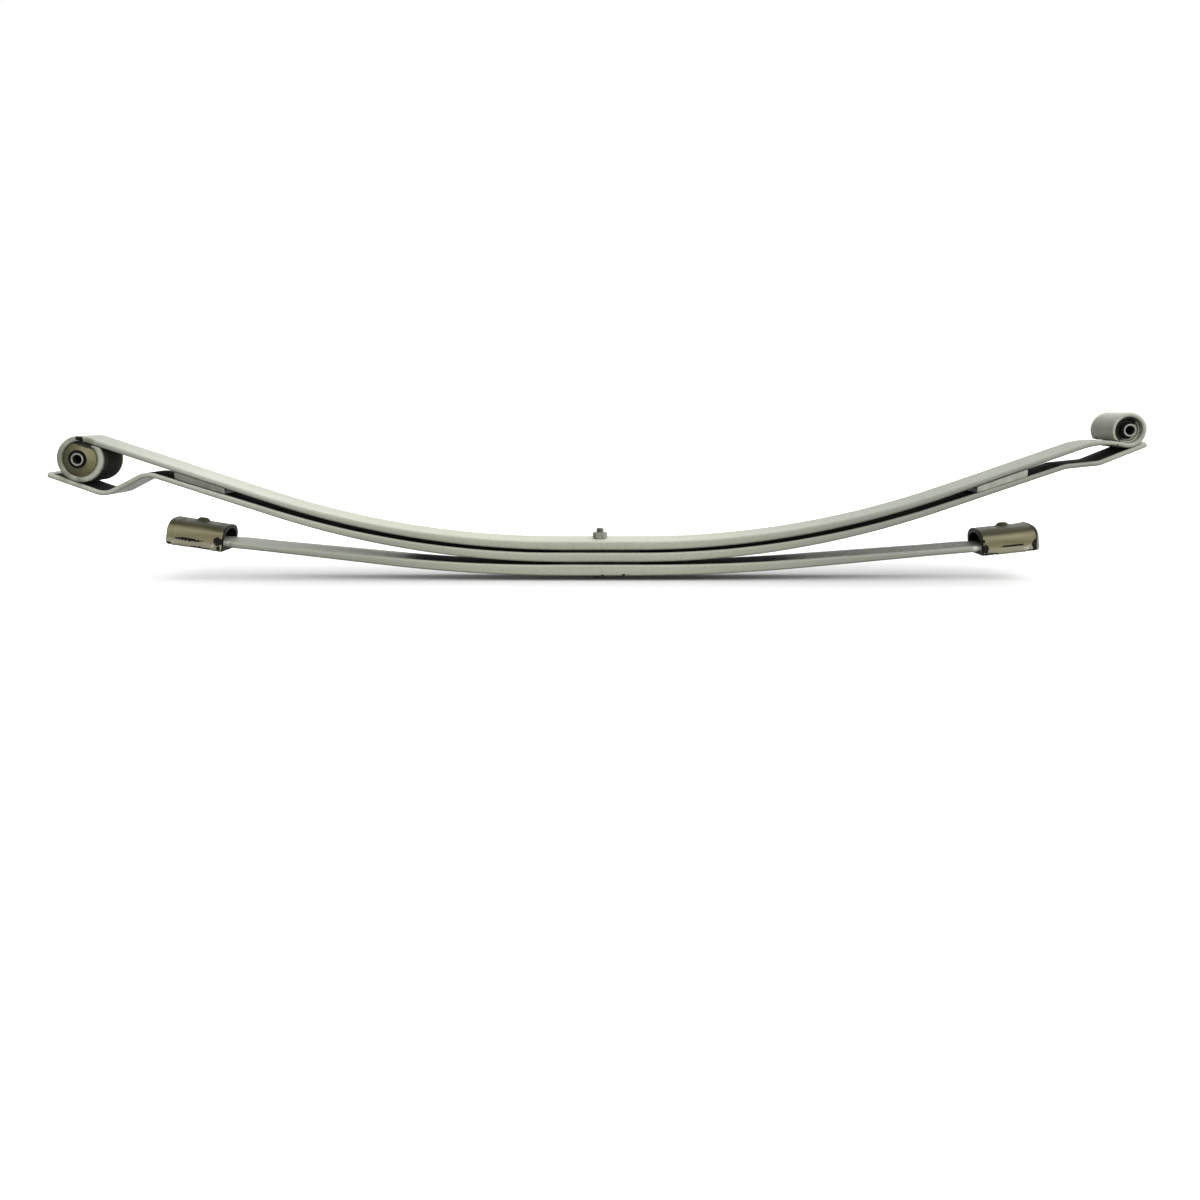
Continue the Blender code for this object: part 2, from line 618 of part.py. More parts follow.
def build():
    clear_scene()
    looks = {
        "paint": make_look("leaf_paint", (0.56, 0.58, 0.53), 0.1, 0.38),
        "liner": make_look("liner_plastic", (0.40, 0.41, 0.37), 0.0, 0.55),
        "zinc": make_look("zinc_steel", (0.62, 0.63, 0.60), 0.9, 0.35),
        "nut": make_look("nut_paint", (0.42, 0.44, 0.40), 0.3, 0.45),
        "shell": make_look("bush_shell_steel", (0.40, 0.42, 0.37), 0.5, 0.45),
        "rubber": make_look("bush_rubber", (0.16, 0.15, 0.09), 0.0, 0.55),
        "buffer": make_look("buffer_rubber", (0.21, 0.19, 0.12), 0.0, 0.35),
    }

    main_left, left_eye = main_arm(
        LEFT_EYE_REACH, LEFT_RADIUS, LEFT_SLOPE, LEFT_EYE_THICK, LEFT_BUSH_DIA, LEFT_WRAP, True
    )
    main_right, right_eye = main_arm(
        RIGHT_EYE_REACH, RIGHT_RADIUS, RIGHT_SLOPE, RIGHT_EYE_THICK, RIGHT_BUSH_DIA, RIGHT_WRAP, False
    )
    second_left = second_arm(
        left_eye, LEFT_RADIUS, LEFT_SLOPE - SECOND_EASE,
        LEFT_STEP_BACK, LEFT_STEP_DROP, LEFT_TAIL_SLOPE, LEFT_TAIL_PAST,
    )
    second_right = second_arm(
        right_eye, RIGHT_RADIUS, RIGHT_SLOPE - SECOND_EASE,
        RIGHT_STEP_BACK, RIGHT_STEP_DROP, RIGHT_TAIL_SLOPE, RIGHT_TAIL_PAST,
    )
    helper_left = helper_arm(LEFT_HELPER_REACH, LEFT_HELPER_RADIUS, LEFT_HELPER_SLOPE)
    helper_right = helper_arm(RIGHT_HELPER_REACH, RIGHT_HELPER_RADIUS, RIGHT_HELPER_SLOPE)

    main = add_piece("main_leaf", leaf(main_left, main_right, False), looks["paint"])
    second = add_piece("second_leaf", leaf(second_left, second_right, True), looks["paint"])
    helper = add_piece("helper_leaf", leaf(helper_left, helper_right, True), looks["paint"])
    lower = build_centre_liner("lower_centre_liner", SECOND_BASE - LEAF_GAP + CLEARANCE, looks)
    upper = build_centre_liner("upper_centre_liner", MAIN_BASE - LEAF_GAP + CLEARANCE, looks)
    hole = rod(((0.0, BOLT_HOLE_DIA / 2), (STACK_TOP + HELPER_BASE, BOLT_HOLE_DIA / 2)))
    bolt_hole = add_piece("bolt_hole", hole, looks["paint"])
    for piece in (main, second, helper, lower, upper):
        cut(piece, bolt_hole)
    build_bolt(looks)
    build_nut(looks)

    left_bush = {
        "sleeve_dia": LEFT_SLEEVE_DIA, "sleeve_bore": LEFT_SLEEVE_BORE, "sleeve_proud": LEFT_SLEEVE_PROUD,
        "shell_recess": LEFT_SHELL_RECESS, "face_recess": LEFT_FACE_RECESS, "face_rise": LEFT_FACE_RISE,
        "groove_width": LEFT_GROOVE_WIDTH, "groove_depth": LEFT_GROOVE_DEPTH,
    }
    right_bush = {
        "sleeve_dia": RIGHT_SLEEVE_DIA, "sleeve_bore": RIGHT_SLEEVE_BORE, "sleeve_proud": RIGHT_SLEEVE_PROUD,
        "shell_recess": RIGHT_SHELL_RECESS, "face_recess": RIGHT_FACE_RECESS, "face_rise": RIGHT_FACE_RISE,
        "groove_width": RIGHT_GROOVE_WIDTH, "groove_depth": RIGHT_GROOVE_DEPTH,
    }
    ends = (
        ("left", -1, main_left, second_left, helper_left, left_eye, left_bush,
         LEFT_LINER_BACK, LEFT_HELPER_REACH, LEFT_BUFFER_TILT),
        ("right", 1, main_right, second_right, helper_right, right_eye, right_bush,
         RIGHT_LINER_BACK, RIGHT_HELPER_REACH, RIGHT_BUFFER_TILT),
    )
    for name, side, main_end, second_end, helper_end, eye, bush, liner_back, helper_reach, tilt in ends:
        arm_pivot = flex_pivot(f"{name}_arm_pivot", side, main_end, eye.x)
        build_bush(name, side, eye, bush, looks, arm_pivot)
        cut(second, build_tip_liner(name, side, main_end, second_end, eye.x - liner_back, looks, arm_pivot))
        helper_pivot = flex_pivot(f"{name}_helper_pivot", side, helper_end, helper_reach)
        build_buffer(name, side, helper_end, tilt, looks, helper_pivot)


build()
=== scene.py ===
"""Looks of the leaf spring: painted leaves, bushed eyes, film-wrapped buffers and a pale studio."""

import json
from collections import namedtuple
from math import ceil, cos, exp, hypot, pi, radians, sin, sqrt, tan
from types import SimpleNamespace

import bmesh
import bpy
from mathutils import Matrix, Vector, noise


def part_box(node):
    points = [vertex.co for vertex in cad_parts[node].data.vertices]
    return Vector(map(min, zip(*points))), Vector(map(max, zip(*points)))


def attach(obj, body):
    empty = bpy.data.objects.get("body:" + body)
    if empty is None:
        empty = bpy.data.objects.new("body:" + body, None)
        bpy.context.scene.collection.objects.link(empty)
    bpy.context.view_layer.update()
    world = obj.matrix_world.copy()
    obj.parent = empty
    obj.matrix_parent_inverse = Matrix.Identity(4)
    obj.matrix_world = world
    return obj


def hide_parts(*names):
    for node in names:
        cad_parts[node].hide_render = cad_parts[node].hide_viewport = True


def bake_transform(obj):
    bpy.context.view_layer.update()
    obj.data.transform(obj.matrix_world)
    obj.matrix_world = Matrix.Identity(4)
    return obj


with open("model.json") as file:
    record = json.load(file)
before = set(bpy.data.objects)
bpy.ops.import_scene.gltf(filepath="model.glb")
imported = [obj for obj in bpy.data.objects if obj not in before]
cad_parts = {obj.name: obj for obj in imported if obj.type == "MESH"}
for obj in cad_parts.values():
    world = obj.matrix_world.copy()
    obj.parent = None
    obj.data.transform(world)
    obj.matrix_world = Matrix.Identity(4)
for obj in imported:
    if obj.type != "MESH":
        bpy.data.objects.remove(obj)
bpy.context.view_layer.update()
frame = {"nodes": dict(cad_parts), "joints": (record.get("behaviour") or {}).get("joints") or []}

# Camera, at the photograph's viewing angle
CAMERA_PLACE = (0.0, -1.567, 0.211)
CAMERA_PITCH = radians(8.732)
CAMERA_LENS_MM = 36.72
CAMERA_SENSOR_MM = 36.0

# Leaf stack at the clamp
LEAF_WIDTH = 0.070
SEAT_HALF = 0.050
MAIN_THICK = 0.0112
SECOND_THICK = 0.0116
HELPER_THICK = 0.0140
SECOND_TIP_THICK = 0.0060
HELPER_TIP_THICK = 0.0072
HELPER_TIP_WIDTH = 0.057
HELPER_NECK_LENGTH = 0.016
SECOND_EASE = radians(0.8)
SECOND_TAPER_PAST = 0.10
LEAF_EDGE_RADIUS = 0.0026
MOST_EDGE_SHARE = 0.45
TIP_CORNER = 0.005
TIP_CORNER_STEPS = 6
CLEARANCE = 0.0003
SCROLL_GAP = 0.0008
WRAP_GAP = 0.0003
STEP_RADIUS = 0.027
BOLT_HOLE_DIA = 0.011
RIVET_HOLE_DIA = 0.0086
HELPER_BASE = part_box("helper_leaf")[0].z
SECOND_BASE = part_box("second_leaf")[0].z
MAIN_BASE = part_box("main_leaf")[0].z

# Mesh steps
ARM_STEP = radians(0.35)
BEND_STEP = radians(3)
ROLL_STEP = radians(3)
STRAIGHT_STEP = 0.005
CORNER_STEPS = 5
FLAT_STEPS = 12
EDGE_STEPS = 2
NECK_STEPS = 10
TURN_STEPS = 96
HOLE_STEPS = 48
ROUND_STEPS = 4
SHARP_ANGLE = radians(38)

# Unevenness of the rolled and painted bars
DENT_SIZE = 0.045
DENT_DEPTH = 0.00009

JOINT_PLACES = {joint["name"]: Vector(joint["pos_m"]) for joint in frame["joints"]}

# The two ends, with a crest as (back from the eye, dip, radius) and film tears as (middle, half size)
LEFT = SimpleNamespace(
    name="left", sign=-1, radius=1.186, slope=radians(18.4), eye_thick=0.0068,
    wrap=radians(333), rolls_down=True, crest=None, thin=None,
    step_back=0.0815, step_drop=radians(27), tail_slope=radians(19.7), tail_past=0.0425,
    helper_reach=0.539, helper_radius=2.07, helper_slope=radians(6.0),
    # Where the helper's top and the leaf above it are marked dark, and the share that stays past it:
    # unpainted steel and painted shade
    helper_bare_and_shade=(0.20, 0.31), helper_shade_beyond=0.0,
    liner_back=0.148, line_under_liner=0.0010, line_over_liner=CLEARANCE,
    bush_dia=0.0435, face_recess=0.0012, face_rise=0.0075,
    groove_width=0.0030, groove_depth=0.004,
    buffer_tilt=radians(2.7), film_short=0.0012, film_fold=0.0250,
    tears=(
        (0.0062, 0.0003, 0.0180, 0.0020), (-0.0075, -0.0086, 0.0150, 0.0022),
        (-0.0305, 0.0035, 0.0060, 0.0052), (-0.0320, -0.0055, 0.0025, 0.0030),
        (0.0330, -0.0080, 0.0060, 0.0026),
    ),
)
RIGHT = SimpleNamespace(
    name="right", sign=1, radius=1.175, slope=radians(19.4), eye_thick=0.0056,
    wrap=radians(327), rolls_down=False, crest=(0.0325, radians(12), 0.090),
    thin=(0.0022, radians(170)),
    step_back=0.076, step_drop=radians(-5.7), tail_slope=radians(22), tail_past=0.024,
    helper_reach=0.546, helper_radius=2.50, helper_slope=radians(4.82),
    # Where the helper's top and the leaf above it are marked dark, and the share that stays past it:
    # unpainted steel and painted shade
    helper_bare_and_shade=(0.17, 0.28), helper_shade_beyond=0.60,
    liner_back=0.1546, line_under_liner=CLEARANCE, line_over_liner=0.0010,
    bush_dia=0.0314, face_recess=0.0105, face_rise=0.0,
    groove_width=0.0012, groove_depth=0.002,
    buffer_tilt=radians(1.4), film_short=0.0050, film_fold=None,
    tears=(
        (0.0010, 0.0000, 0.0165, 0.0011), (0.0290, -0.0025, 0.0040, 0.0075),
        (0.0230, -0.0086, 0.0060, 0.0016), (-0.0330, -0.0010, 0.0035, 0.0060),
        (-0.0270, -0.0086, 0.0100, 0.0024), (-0.0345, 0.0090, 0.0014, 0.0016),
    ),
)
SIDES = (LEFT, RIGHT)

# Spacers near the tips
TIP_LINER_LENGTH = 0.0625
TIP_LINER_INSET = 0.001
LINER_EDGE = 0.0008
LINER_STEPS = 24

# Bushes, with the rounding of their edges
SHELL_WALL = 0.0018
SHELL_EDGE = 0.0005
SLEEVE_DIA = 0.016
SLEEVE_BORE = 0.0105
SLEEVE_CHAMFER = 0.0009
SLEEVE_EDGE = 0.0006
BORE_EDGE = 0.0002
GROOVE_DRAFT = 0.0003
GROOVE_EDGE = 0.0004
BOSS_EDGE = 0.0005
LIP_INSET = 0.0008
LIP_EDGE = 0.0012
RIM_EDGE = 0.0003
DEEP_EDGE = 0.0008

# Centre bolt and nut
BOLT_DIA = 0.010
THREAD_PITCH = 0.0015
THREAD_DEPTH = 0.0008
THREAD_STEPS = 10
BOLT_END_ROUND = 0.0014
HEAD_EDGE = 0.0008
NUT_ACROSS_FLATS = 0.016
NUT_FACE_SHARE = 0.95
NUT_CHAMFER_ANGLE = radians(30)

# Rubber buffers: the tall arched section is a superellipse over upright sides
BUFFER_LENGTH = 0.072
BUFFER_END_WALL = 0.008
BUFFER_SIDE_WALL = 0.0042
BUFFER_FLOOR = 0.0047
BUFFER_CROWN = 0.0192
BUFFER_ARCH_HEIGHT = 0.0155
BUFFER_ARCH_POWER = 2.5
BUFFER_FOOT_ROUND = 0.0025
BUFFER_END_ROUND = 0.004
BUFFER_MOUTH_ROUND = 0.0012
BUFFER_DENT = 0.00015
BUFFER_COVER = BUFFER_LENGTH - BUFFER_END_WALL + CLEARANCE
TUNNEL_HALF_WIDTH = 0.0265
TUNNEL_HEIGHT = 0.0135
TUNNEL_STEPS = 24
NUB_RADIUS = 0.0102
NUB_HEIGHT = 0.0042
NUB_FLANK = 0.6
SHOE_POINTS = 150
SHOE_STEP = 0.0012
END_STEPS = 5

# Brown film drawn over the buffers, with its streaks and puckers per metre
FILM_GAP = 0.0004
FILM_THICK = 0.0002
FILM_LEAST_LIFT = FILM_THICK * 1.5
FILM_STREAK = 0.00022
STREAKS_ALONG = 20
STREAKS_ROUND = 260
FILM_PUCKER = 0.00018
PUCKERS = 90
FILM_RAGGED = 0.0012
TEAR_RAGGED = 0.5
FILM_FLARE = 0.0008
FILM_FLARE_REACH = 0.003
# Painted shade on the crown
FILM_CROWN_SHADE = (0.0135, 0.0175)
FILM_HEM = (-0.0015, 0.0015)
# How much the nub's rise eases the crown's painted shade
NUB_LESS_SHADE = 1.2
# Painted highlights on creases in the film
FILM_CREASE_HIGHLIGHTS = (
    ((0.5385, -0.033, 0.0423), 0.0018), ((0.5350, -0.033, 0.0413), 0.0013),
    ((0.5465, -0.031, 0.0530), 0.0014), ((-0.4886, -0.033, 0.0443), 0.0014),
    ((-0.4783, -0.033, 0.0416), 0.0016), ((-0.5375, -0.033, 0.0500), 0.0014),
)
FILM_FOLD = 0.0005
FILM_FOLD_WIDTH = 0.0012

# Studio, with far lamps as (name, way towards it, share of a plain level, angle across)
WHITE = (1.0, 1.0, 1.0, 1.0)
WORLD_LIGHT = 0.14
FLOOR_HALF = 12.0
FLOOR_COLOUR = 0.80
FLOOR_BOUNCE = 0.15
FLOOR_LIFT = (0.01, 0.85)
FLOOR_FADE = (0.0, 1.6)
FLOOR_SQUEEZE = (1.0, 1.6, 1.0)
FLOOR_SHIFT = (-0.06, 0.0, 0.0)
LAMPS = (
    ("key", (0.80, -0.15, 0.60), 1.24, radians(130)),
    ("back", (0.0, 0.80, 0.60), 0.18, radians(60)),
)
BOX_PLACE = (0.4, -2.25, 1.65)
BOX_SIZE = (3.2, 1.1)
BOX_WATTS = 34.0

# Noise mostly lies within these limits; a spot fades out from its core to its rim, as shares of its radius
MOTTLE = (0.35, 0.65)
DRIFT = (0.3, 0.7)
SPOT_CORE = 1.35
SPOT_RIM = 1.6

# Bands round an eye's axis, counted from the sleeve's bore or outside
# The bore's band is painted shade inside the hole
BORE_DARK = (0.0004, 0.0008)
OUTSIDE_DARK = (-0.0004, -0.0001)
GROOVE_BARE = (0.0032, 0.0038)
# Painted light in the right eye's groove
GROOVE_LIT = (0.0024, 0.0036)

# Where a look sets in along the part, as (from, to) or (from, to, share at from, share at to)
# Painted shadow of the leaf on the left bush face
LEAF_SHADOW = (0.0162, 0.0172)
LEAF_SHADOW_RAGGED = 0.0006
BUSH_SHADE = (-0.018, 0.012, 0.8, 0.0)
LINER_DARK = (0.0004, 0.0010)
# Painted shade on the left spacer
LINER_SHADE = (-0.01, 0.01, 0.6, 0.0)
SHOE_END_GREY = (0.0035, 0.0050)
FILM_UNEVEN = 0.0012
# Painted light inside the right eye: where it sets in, which way it leans, how ragged its edge is
EYE_LIGHT = (0.0, 0.005)
EYE_LIGHT_WAY = (0.8, -0.6)
EYE_LIGHT_RAGGED = 0.012

# Paint: how far the spray got in between the leaves, on faces turned far enough up or down, and on an eye;
# the dark left there is partly unpainted steel and partly painted shade
SPRAY_REACH = 0.008
STEP_SPRAY = 0.03
# How far back from the tail's tip its top stays dark, a painted shade under the eye
TAIL_SHADE = (0.010, 0.003)
FACE_TILT = 0.5
EYE_SHADE_TURN = 2
EYE_SHADE_TOP = 0.85
EYE_SHADE_FADE = 0.3

# Darker paint, as two spans of a place (from, to, share at from, share at to) that multiply; over the right
# arm it is painted shade, where its tops turn away from the light
DARKER_PAINT = (0.18, 0.19, 0.165)
RIGHT_SHADE = ((0.10, 0.32, 0.0, 0.48), (0.610, 0.640, 1.0, 0.0))
HELPER_DARKER = ((-0.30, -0.15, 0.3, 0.0), (0.050, 0.060, 1.0, 0.0))
EYE_DARKER = ((-0.640, -0.500, 0.5, 0.0), (-0.050, -0.040, 0.0, 1.0))
WARM_MIDDLE = (0.15, 0.40, 0.5, 0.0)

# Spots as (middle, radius): chipped off, painted highlights, darker patches, and the steel that shows on
# the left eye
CHIPS = (
    ((0.003, -0.0335, 0.0066), 0.0022), ((0.030, -0.0345, 0.0075), 0.0018),
    ((-0.6490, -0.0345, 0.1786), 0.0026), ((-0.6448, -0.0345, 0.1775), 0.0032),
    ((0.6430, -0.035, 0.1700), 0.0013),
)
HIGHLIGHT_SPOTS = (
    ((0.4735, -0.0315, 0.0409), 0.0042), ((-0.4700, -0.0315, 0.0485), 0.0032),
    ((0.5650, -0.0340, 0.1591), 0.0012),
)
DARK_PATCHES = (
    ((-0.6740, -0.0345, 0.1540), 0.0225), ((-0.6500, -0.0345, 0.1262), 0.0080),
    ((-0.6660, -0.0345, 0.1340), 0.0110), ((-0.6340, -0.0345, 0.1775), 0.0080),
)
DARK_PATCH_CORE = 0.8
DARK_PATCH_SHARE = 0.6
EYE_STEEL = tuple(((-0.6180, y, 0.1560), 0.0220) for y in (-0.0240, 0.0, 0.0240))
STEEL_CORE = 0.9

Station = namedtuple("Station", "point up run heading")
Arm = namedtuple("Arm", "stations below above halves")
Eye = namedtuple("Eye", "x z outer")


class Nodes:
    """A node tree, with short calls that add its nodes."""

    def __init__(self, tree):
        self.tree = tree

    def wire(self, value, socket):
        """Links an output to a socket, or writes a plain value on it."""
        if isinstance(value, bpy.types.NodeSocket):
            self.tree.links.new(value, socket)
        else:
            socket.default_value = value

    def node(self, kind, inputs=None, **settings):
        """A new node with its settings, and with what goes into its sockets."""
        node = self.tree.nodes.new(kind)
        for name, setting in settings.items():
            setattr(node, name, setting)
        for name, value in (inputs or {}).items():
            self.wire(value, node.inputs[name])
        return node

    def math(self, operation, first, second=0.0):
        return self.node("ShaderNodeMath", {0: first, 1: second}, operation=operation).outputs["Value"]

    def span(self, value, low, high, start=0.0, end=1.0, **settings):
        """Value taken from low..high to start..end, held at both ends."""
        inputs = {"Value": value, "From Min": low, "From Max": high, "To Min": start, "To Max": end}
        return self.node("ShaderNodeMapRange", inputs, **settings).outputs["Result"]

    def shown(self):
        """1 for the rays that show the background: those of the camera, of gloss and of glass."""
        path = self.node("ShaderNodeLightPath")
        total = path.outputs["Is Camera Ray"]
        for name in ("Is Glossy Ray", "Is Transmission Ray"):
            total = self.math("MAXIMUM", total, path.outputs[name])
        return total


class Look(Nodes):
    """A Principled material, placed by the object's axes or by the rest shape of a bending leaf."""

    def __init__(self, name, colour, metallic=0.0, specular=0.5, bends=False):
        self.colour = colour
        self.material = bpy.data.materials.new(name)
        self.material.use_nodes = True
        super().__init__(self.material.node_tree)
        self.shader = self.tree.nodes["Principled BSDF"]
        self.wire(metallic, self.shader.inputs["Metallic"])
        self.wire(specular, self.shader.inputs["Specular IOR Level"])
        if bends:
            self.place = self.attribute("rest", "Vector")
        else:
            self.place = self.node("ShaderNodeTexCoord").outputs["Object"]

    def noise(self, scale, detail=2.0, stretch=None):
        place = self.place
        if stretch:
            place = self.node("ShaderNodeMapping", {"Scale": stretch, "Vector": place}).outputs["Vector"]
        inputs = {"Scale": scale, "Detail": detail, "Vector": place}
        return self.node("ShaderNodeTexNoise", inputs).outputs["Fac"]

    def attribute(self, name, output="Fac"):
        return self.node("ShaderNodeAttribute", attribute_name=name).outputs[output]

    def across(self, axis, share=None):
        """A place's distance from the origin along an axis, or a share of it."""
        distance = self.node("ShaderNodeSeparateXYZ", {0: self.place}).outputs[axis]
        return distance if share is None else self.math("MULTIPLY", distance, share)

    def band(self, radius, limits, start=0.0, end=1.0):
        """Goes from start to end over a band that lies round the object's own Y axis."""
        squares = [self.math("MULTIPLY", self.across(axis), self.across(axis)) for axis in "XZ"]
        distance = self.math("SQRT", self.math("ADD", *squares))
        return self.span(distance, radius + limits[0], radius + limits[1], start, end)

    def mix(self, share, first, second):
        node = self.node("ShaderNodeMix", {"Factor": share}, data_type="RGBA")
        for colour, name in ((first, "A"), (second, "B")):
            socket = next(s for s in node.inputs if s.name == name and s.type == "RGBA")
            self.wire((*colour, 1.0) if isinstance(colour, tuple) else colour, socket)
        return next(s for s in node.outputs if s.type == "RGBA")

    def over(self, share, colour):
        """Lays a colour over what is there."""
        self.colour = self.mix(share, self.colour, colour)

    def mottle(self, scale, detail=3.0):
        return self.span(self.noise(scale, detail), *MOTTLE)

    def uneven(self, scale, low, high, detail=2.0):
        """A value that drifts between two."""
        return self.span(self.noise(scale, detail), *DRIFT, low, high)

    def spots(self, places, ragged, core=SPOT_CORE):
        """1 inside ragged spots, 0 outside, with a soft edge where the core is small."""
        total = 0.0
        for centre, radius in places:
            ends = {0: self.place, 1: centre}
            distance = self.node("ShaderNodeVectorMath", ends, operation="DISTANCE").outputs["Value"]
            reach = self.math("ADD", distance, self.math("MULTIPLY", ragged, radius))
            inside = self.span(reach, radius * core, radius * SPOT_RIM, 1.0, 0.0)
            total = self.math("MAXIMUM", inside, total)
        return total

    def bump(self, height, strength, distance, under=None):
        inputs = {"Strength": strength, "Distance": distance, "Height": height}
        if under is not None:
            inputs["Normal"] = under
        return self.node("ShaderNodeBump", inputs).outputs["Normal"]

    def finish(self, roughness, normal=None):
        self.wire(self.colour, self.shader.inputs["Base Color"])
        self.wire(roughness, self.shader.inputs["Roughness"])
        if normal is not None:
            self.wire(normal, self.shader.inputs["Normal"])
        return self.material


def eye_reach(side):
    """How far out from the bolt an eye's axis lies."""
    return abs(JOINT_PLACES[f"{side.name}_bush_twist"].x)


def liner_start(side):
    """How far out the spacer near a tip begins."""
    return eye_reach(side) - side.liner_back - TIP_LINER_LENGTH / 2


def leaf_paint():
    """Satin grey spring paint: cloudy, streaked and chipped, with painted shade on the right arm, painted
    highlights on the neck facets, darker patches by the left eye, and dark steel with painted shade in the
    gaps.
    """
    look = Look("leaf_paint", (0.405, 0.423, 0.350), specular=0.15, bends=True)
    x, z = look.across("X"), look.across("Z")
    above_eye = look.math("ADD", z, look.across("X", tan(LEFT.slope)))
    clouds = look.noise(9.0, 3.0, (0.35, 1.0, 1.0))
    streaks = look.noise(60.0, 2.0, (0.08, 1.0, 1.0))
    ragged = look.noise(350.0)
    look.over(look.span(clouds, 0.35, 0.68), (0.480, 0.490, 0.420))
    look.over(look.span(streaks, 0.45, 0.75, 0.0, 0.35), (0.33, 0.35, 0.28))
    look.over(look.span(look.math("ABSOLUTE", x), *WARM_MIDDLE), (0.465, 0.48, 0.36))
    # Darker paint by place: painted shade over the right arm, and a darker tone low on the left and near
    # the left eye
    for place, (first, second) in ((x, RIGHT_SHADE), (z, HELPER_DARKER), (above_eye, EYE_DARKER)):
        thin = look.math("MULTIPLY", look.span(x, *first), look.span(place, *second))
        look.over(thin, DARKER_PAINT)
    look.over(look.span(look.noise(280.0, 4.0), 0.50, 0.72, 0.0, 0.45), (0.30, 0.315, 0.26))
    look.over(look.span(look.noise(900.0), 0.55, 0.8, 0.0, 0.12), (0.60, 0.61, 0.54))
    # Painted highlights on the neck facets and on an edge of the right arm
    look.over(look.spots(HIGHLIGHT_SPOTS, ragged), (0.54, 0.55, 0.49))
    # Darker patches round the left eye's ring and on the leaf's top beside it
    dark_patch = look.math("MULTIPLY", look.spots(DARK_PATCHES, ragged, DARK_PATCH_CORE), DARK_PATCH_SHARE)
    look.over(dark_patch, (0.110, 0.108, 0.065))
    # The dark over chips and marked faces is rolled steel in part and painted shade in part
    dark = look.math("MAXIMUM", look.spots(CHIPS, ragged), bare_and_shade_share(look, ragged))
    shine = look.spots(EYE_STEEL, ragged, STEEL_CORE)
    steel = look.mix(shine, (0.007, 0.007, 0.006), (0.060, 0.066, 0.048))
    look.over(dark, steel)
    rough = look.math("MAXIMUM", look.uneven(120.0, 0.42, 0.56, 3.0), look.math("MULTIPLY", dark, 0.95))
    peel = look.bump(look.noise(700.0, 1.0), 0.12, 0.0002)
    return look.finish(rough, look.bump(clouds, 0.08, 0.001, peel))


def bare_and_shade_share(look, ragged):
    """How much dark rolled steel and painted shade shows, with an uneven edge to the paint."""
    uneven = look.span(ragged, *DRIFT, -0.1, 0.1)
    return look.span(look.math("ADD", look.attribute("bare"), uneven), 0.15, 0.85)


def nut_paint():
    look = Look("nut_paint", (0.155, 0.165, 0.14), metallic=0.3)
    look.over(look.mottle(300.0), (0.24, 0.25, 0.22))
    return look.finish(look.uneven(500.0, 0.4, 0.6))


def bolt_zinc():
    look = Look("bolt_zinc", (0.08, 0.082, 0.07), metallic=0.4, specular=0.3)
    look.over(look.mottle(260.0), (0.16, 0.16, 0.14))
    return look.finish(look.uneven(400.0, 0.32, 0.5))


def sleeve_zinc():
    """Turned and plated sleeve ends with lathe rings, with painted shade in the bore, and dark round the
    outside.
    """
    look = Look("sleeve_zinc", (0.21, 0.205, 0.175), metallic=0.2, specular=0.3)
    look.over(look.mottle(180.0), (0.33, 0.32, 0.285))
    # Painted shade inside the bore
    bore = look.band(SLEEVE_BORE / 2, BORE_DARK, 1.0, 0.0)
    dark = look.math("MAXIMUM", bore, look.band(SLEEVE_DIA / 2, OUTSIDE_DARK))
    look.over(dark, (0.006, 0.006, 0.005))
    rough = look.math("MAXIMUM", look.uneven(300.0, 0.4, 0.55), look.math("MULTIPLY", dark, 0.9))
    inputs = {"Scale": 420.0, "Distortion": 0.6, "Vector": look.place}
    lathe = look.node("ShaderNodeTexWave", inputs, wave_type="RINGS", rings_direction="Y")
    return look.finish(rough, look.bump(lathe.outputs["Fac"], 0.15, 0.0001))


def painted_eye_light(look):
    """How much painted light falls in an open eye, most of it low and to the right."""
    lean = look.math("ADD", *(look.across(axis, share) for axis, share in zip("XZ", EYE_LIGHT_WAY)))
    ragged = look.math("SUBTRACT", look.noise(260.0, 3.0), 0.5)
    lean = look.math("ADD", lean, look.math("MULTIPLY", ragged, EYE_LIGHT_RAGGED))
    return look.span(lean, *EYE_LIGHT)


def shell_steel():
    # Near-black steel that stands in for the shade deep in the right eye, with painted light low and to the
    # right
    look = Look("shell_steel", (0.018, 0.018, 0.015), metallic=0.3, specular=0.2)
    look.over(look.mottle(150.0, 4.0), (0.05, 0.05, 0.045))
    look.over(painted_eye_light(look), (0.46, 0.48, 0.40))
    return look.finish(look.uneven(220.0, 0.4, 0.6))


def liner_plastic():
    """Spacers near the tips, painted over, the left one darker as painted shade, and dark at their inner
    ends.
    """
    look = Look("liner_plastic", (0.36, 0.37, 0.31), specular=0.2)
    look.over(look.mottle(80.0), (0.48, 0.49, 0.43))
    # Painted shade over the left spacer
    look.over(look.span(look.across("X"), *LINER_SHADE), (0.06, 0.06, 0.045))
    for side in SIDES:
        out = look.across("X", side.sign)
        start, end = (liner_start(side) + past for past in LINER_DARK)
        inner = look.math("MULTIPLY", look.span(out, 0.0, 0.01), look.span(out, start, end, 1.0, 0.0))
        look.over(inner, (0.008, 0.008, 0.006))
    return look.finish(look.uneven(200.0, 0.4, 0.6), look.bump(look.noise(600.0), 0.1, 0.0002))


def centre_liner_plastic():
    look = Look("centre_liner_plastic", (0.005, 0.005, 0.004), specular=0.1)
    look.over(look.mottle(120.0), (0.012, 0.012, 0.010))
    return look.finish(look.uneven(200.0, 0.55, 0.7))


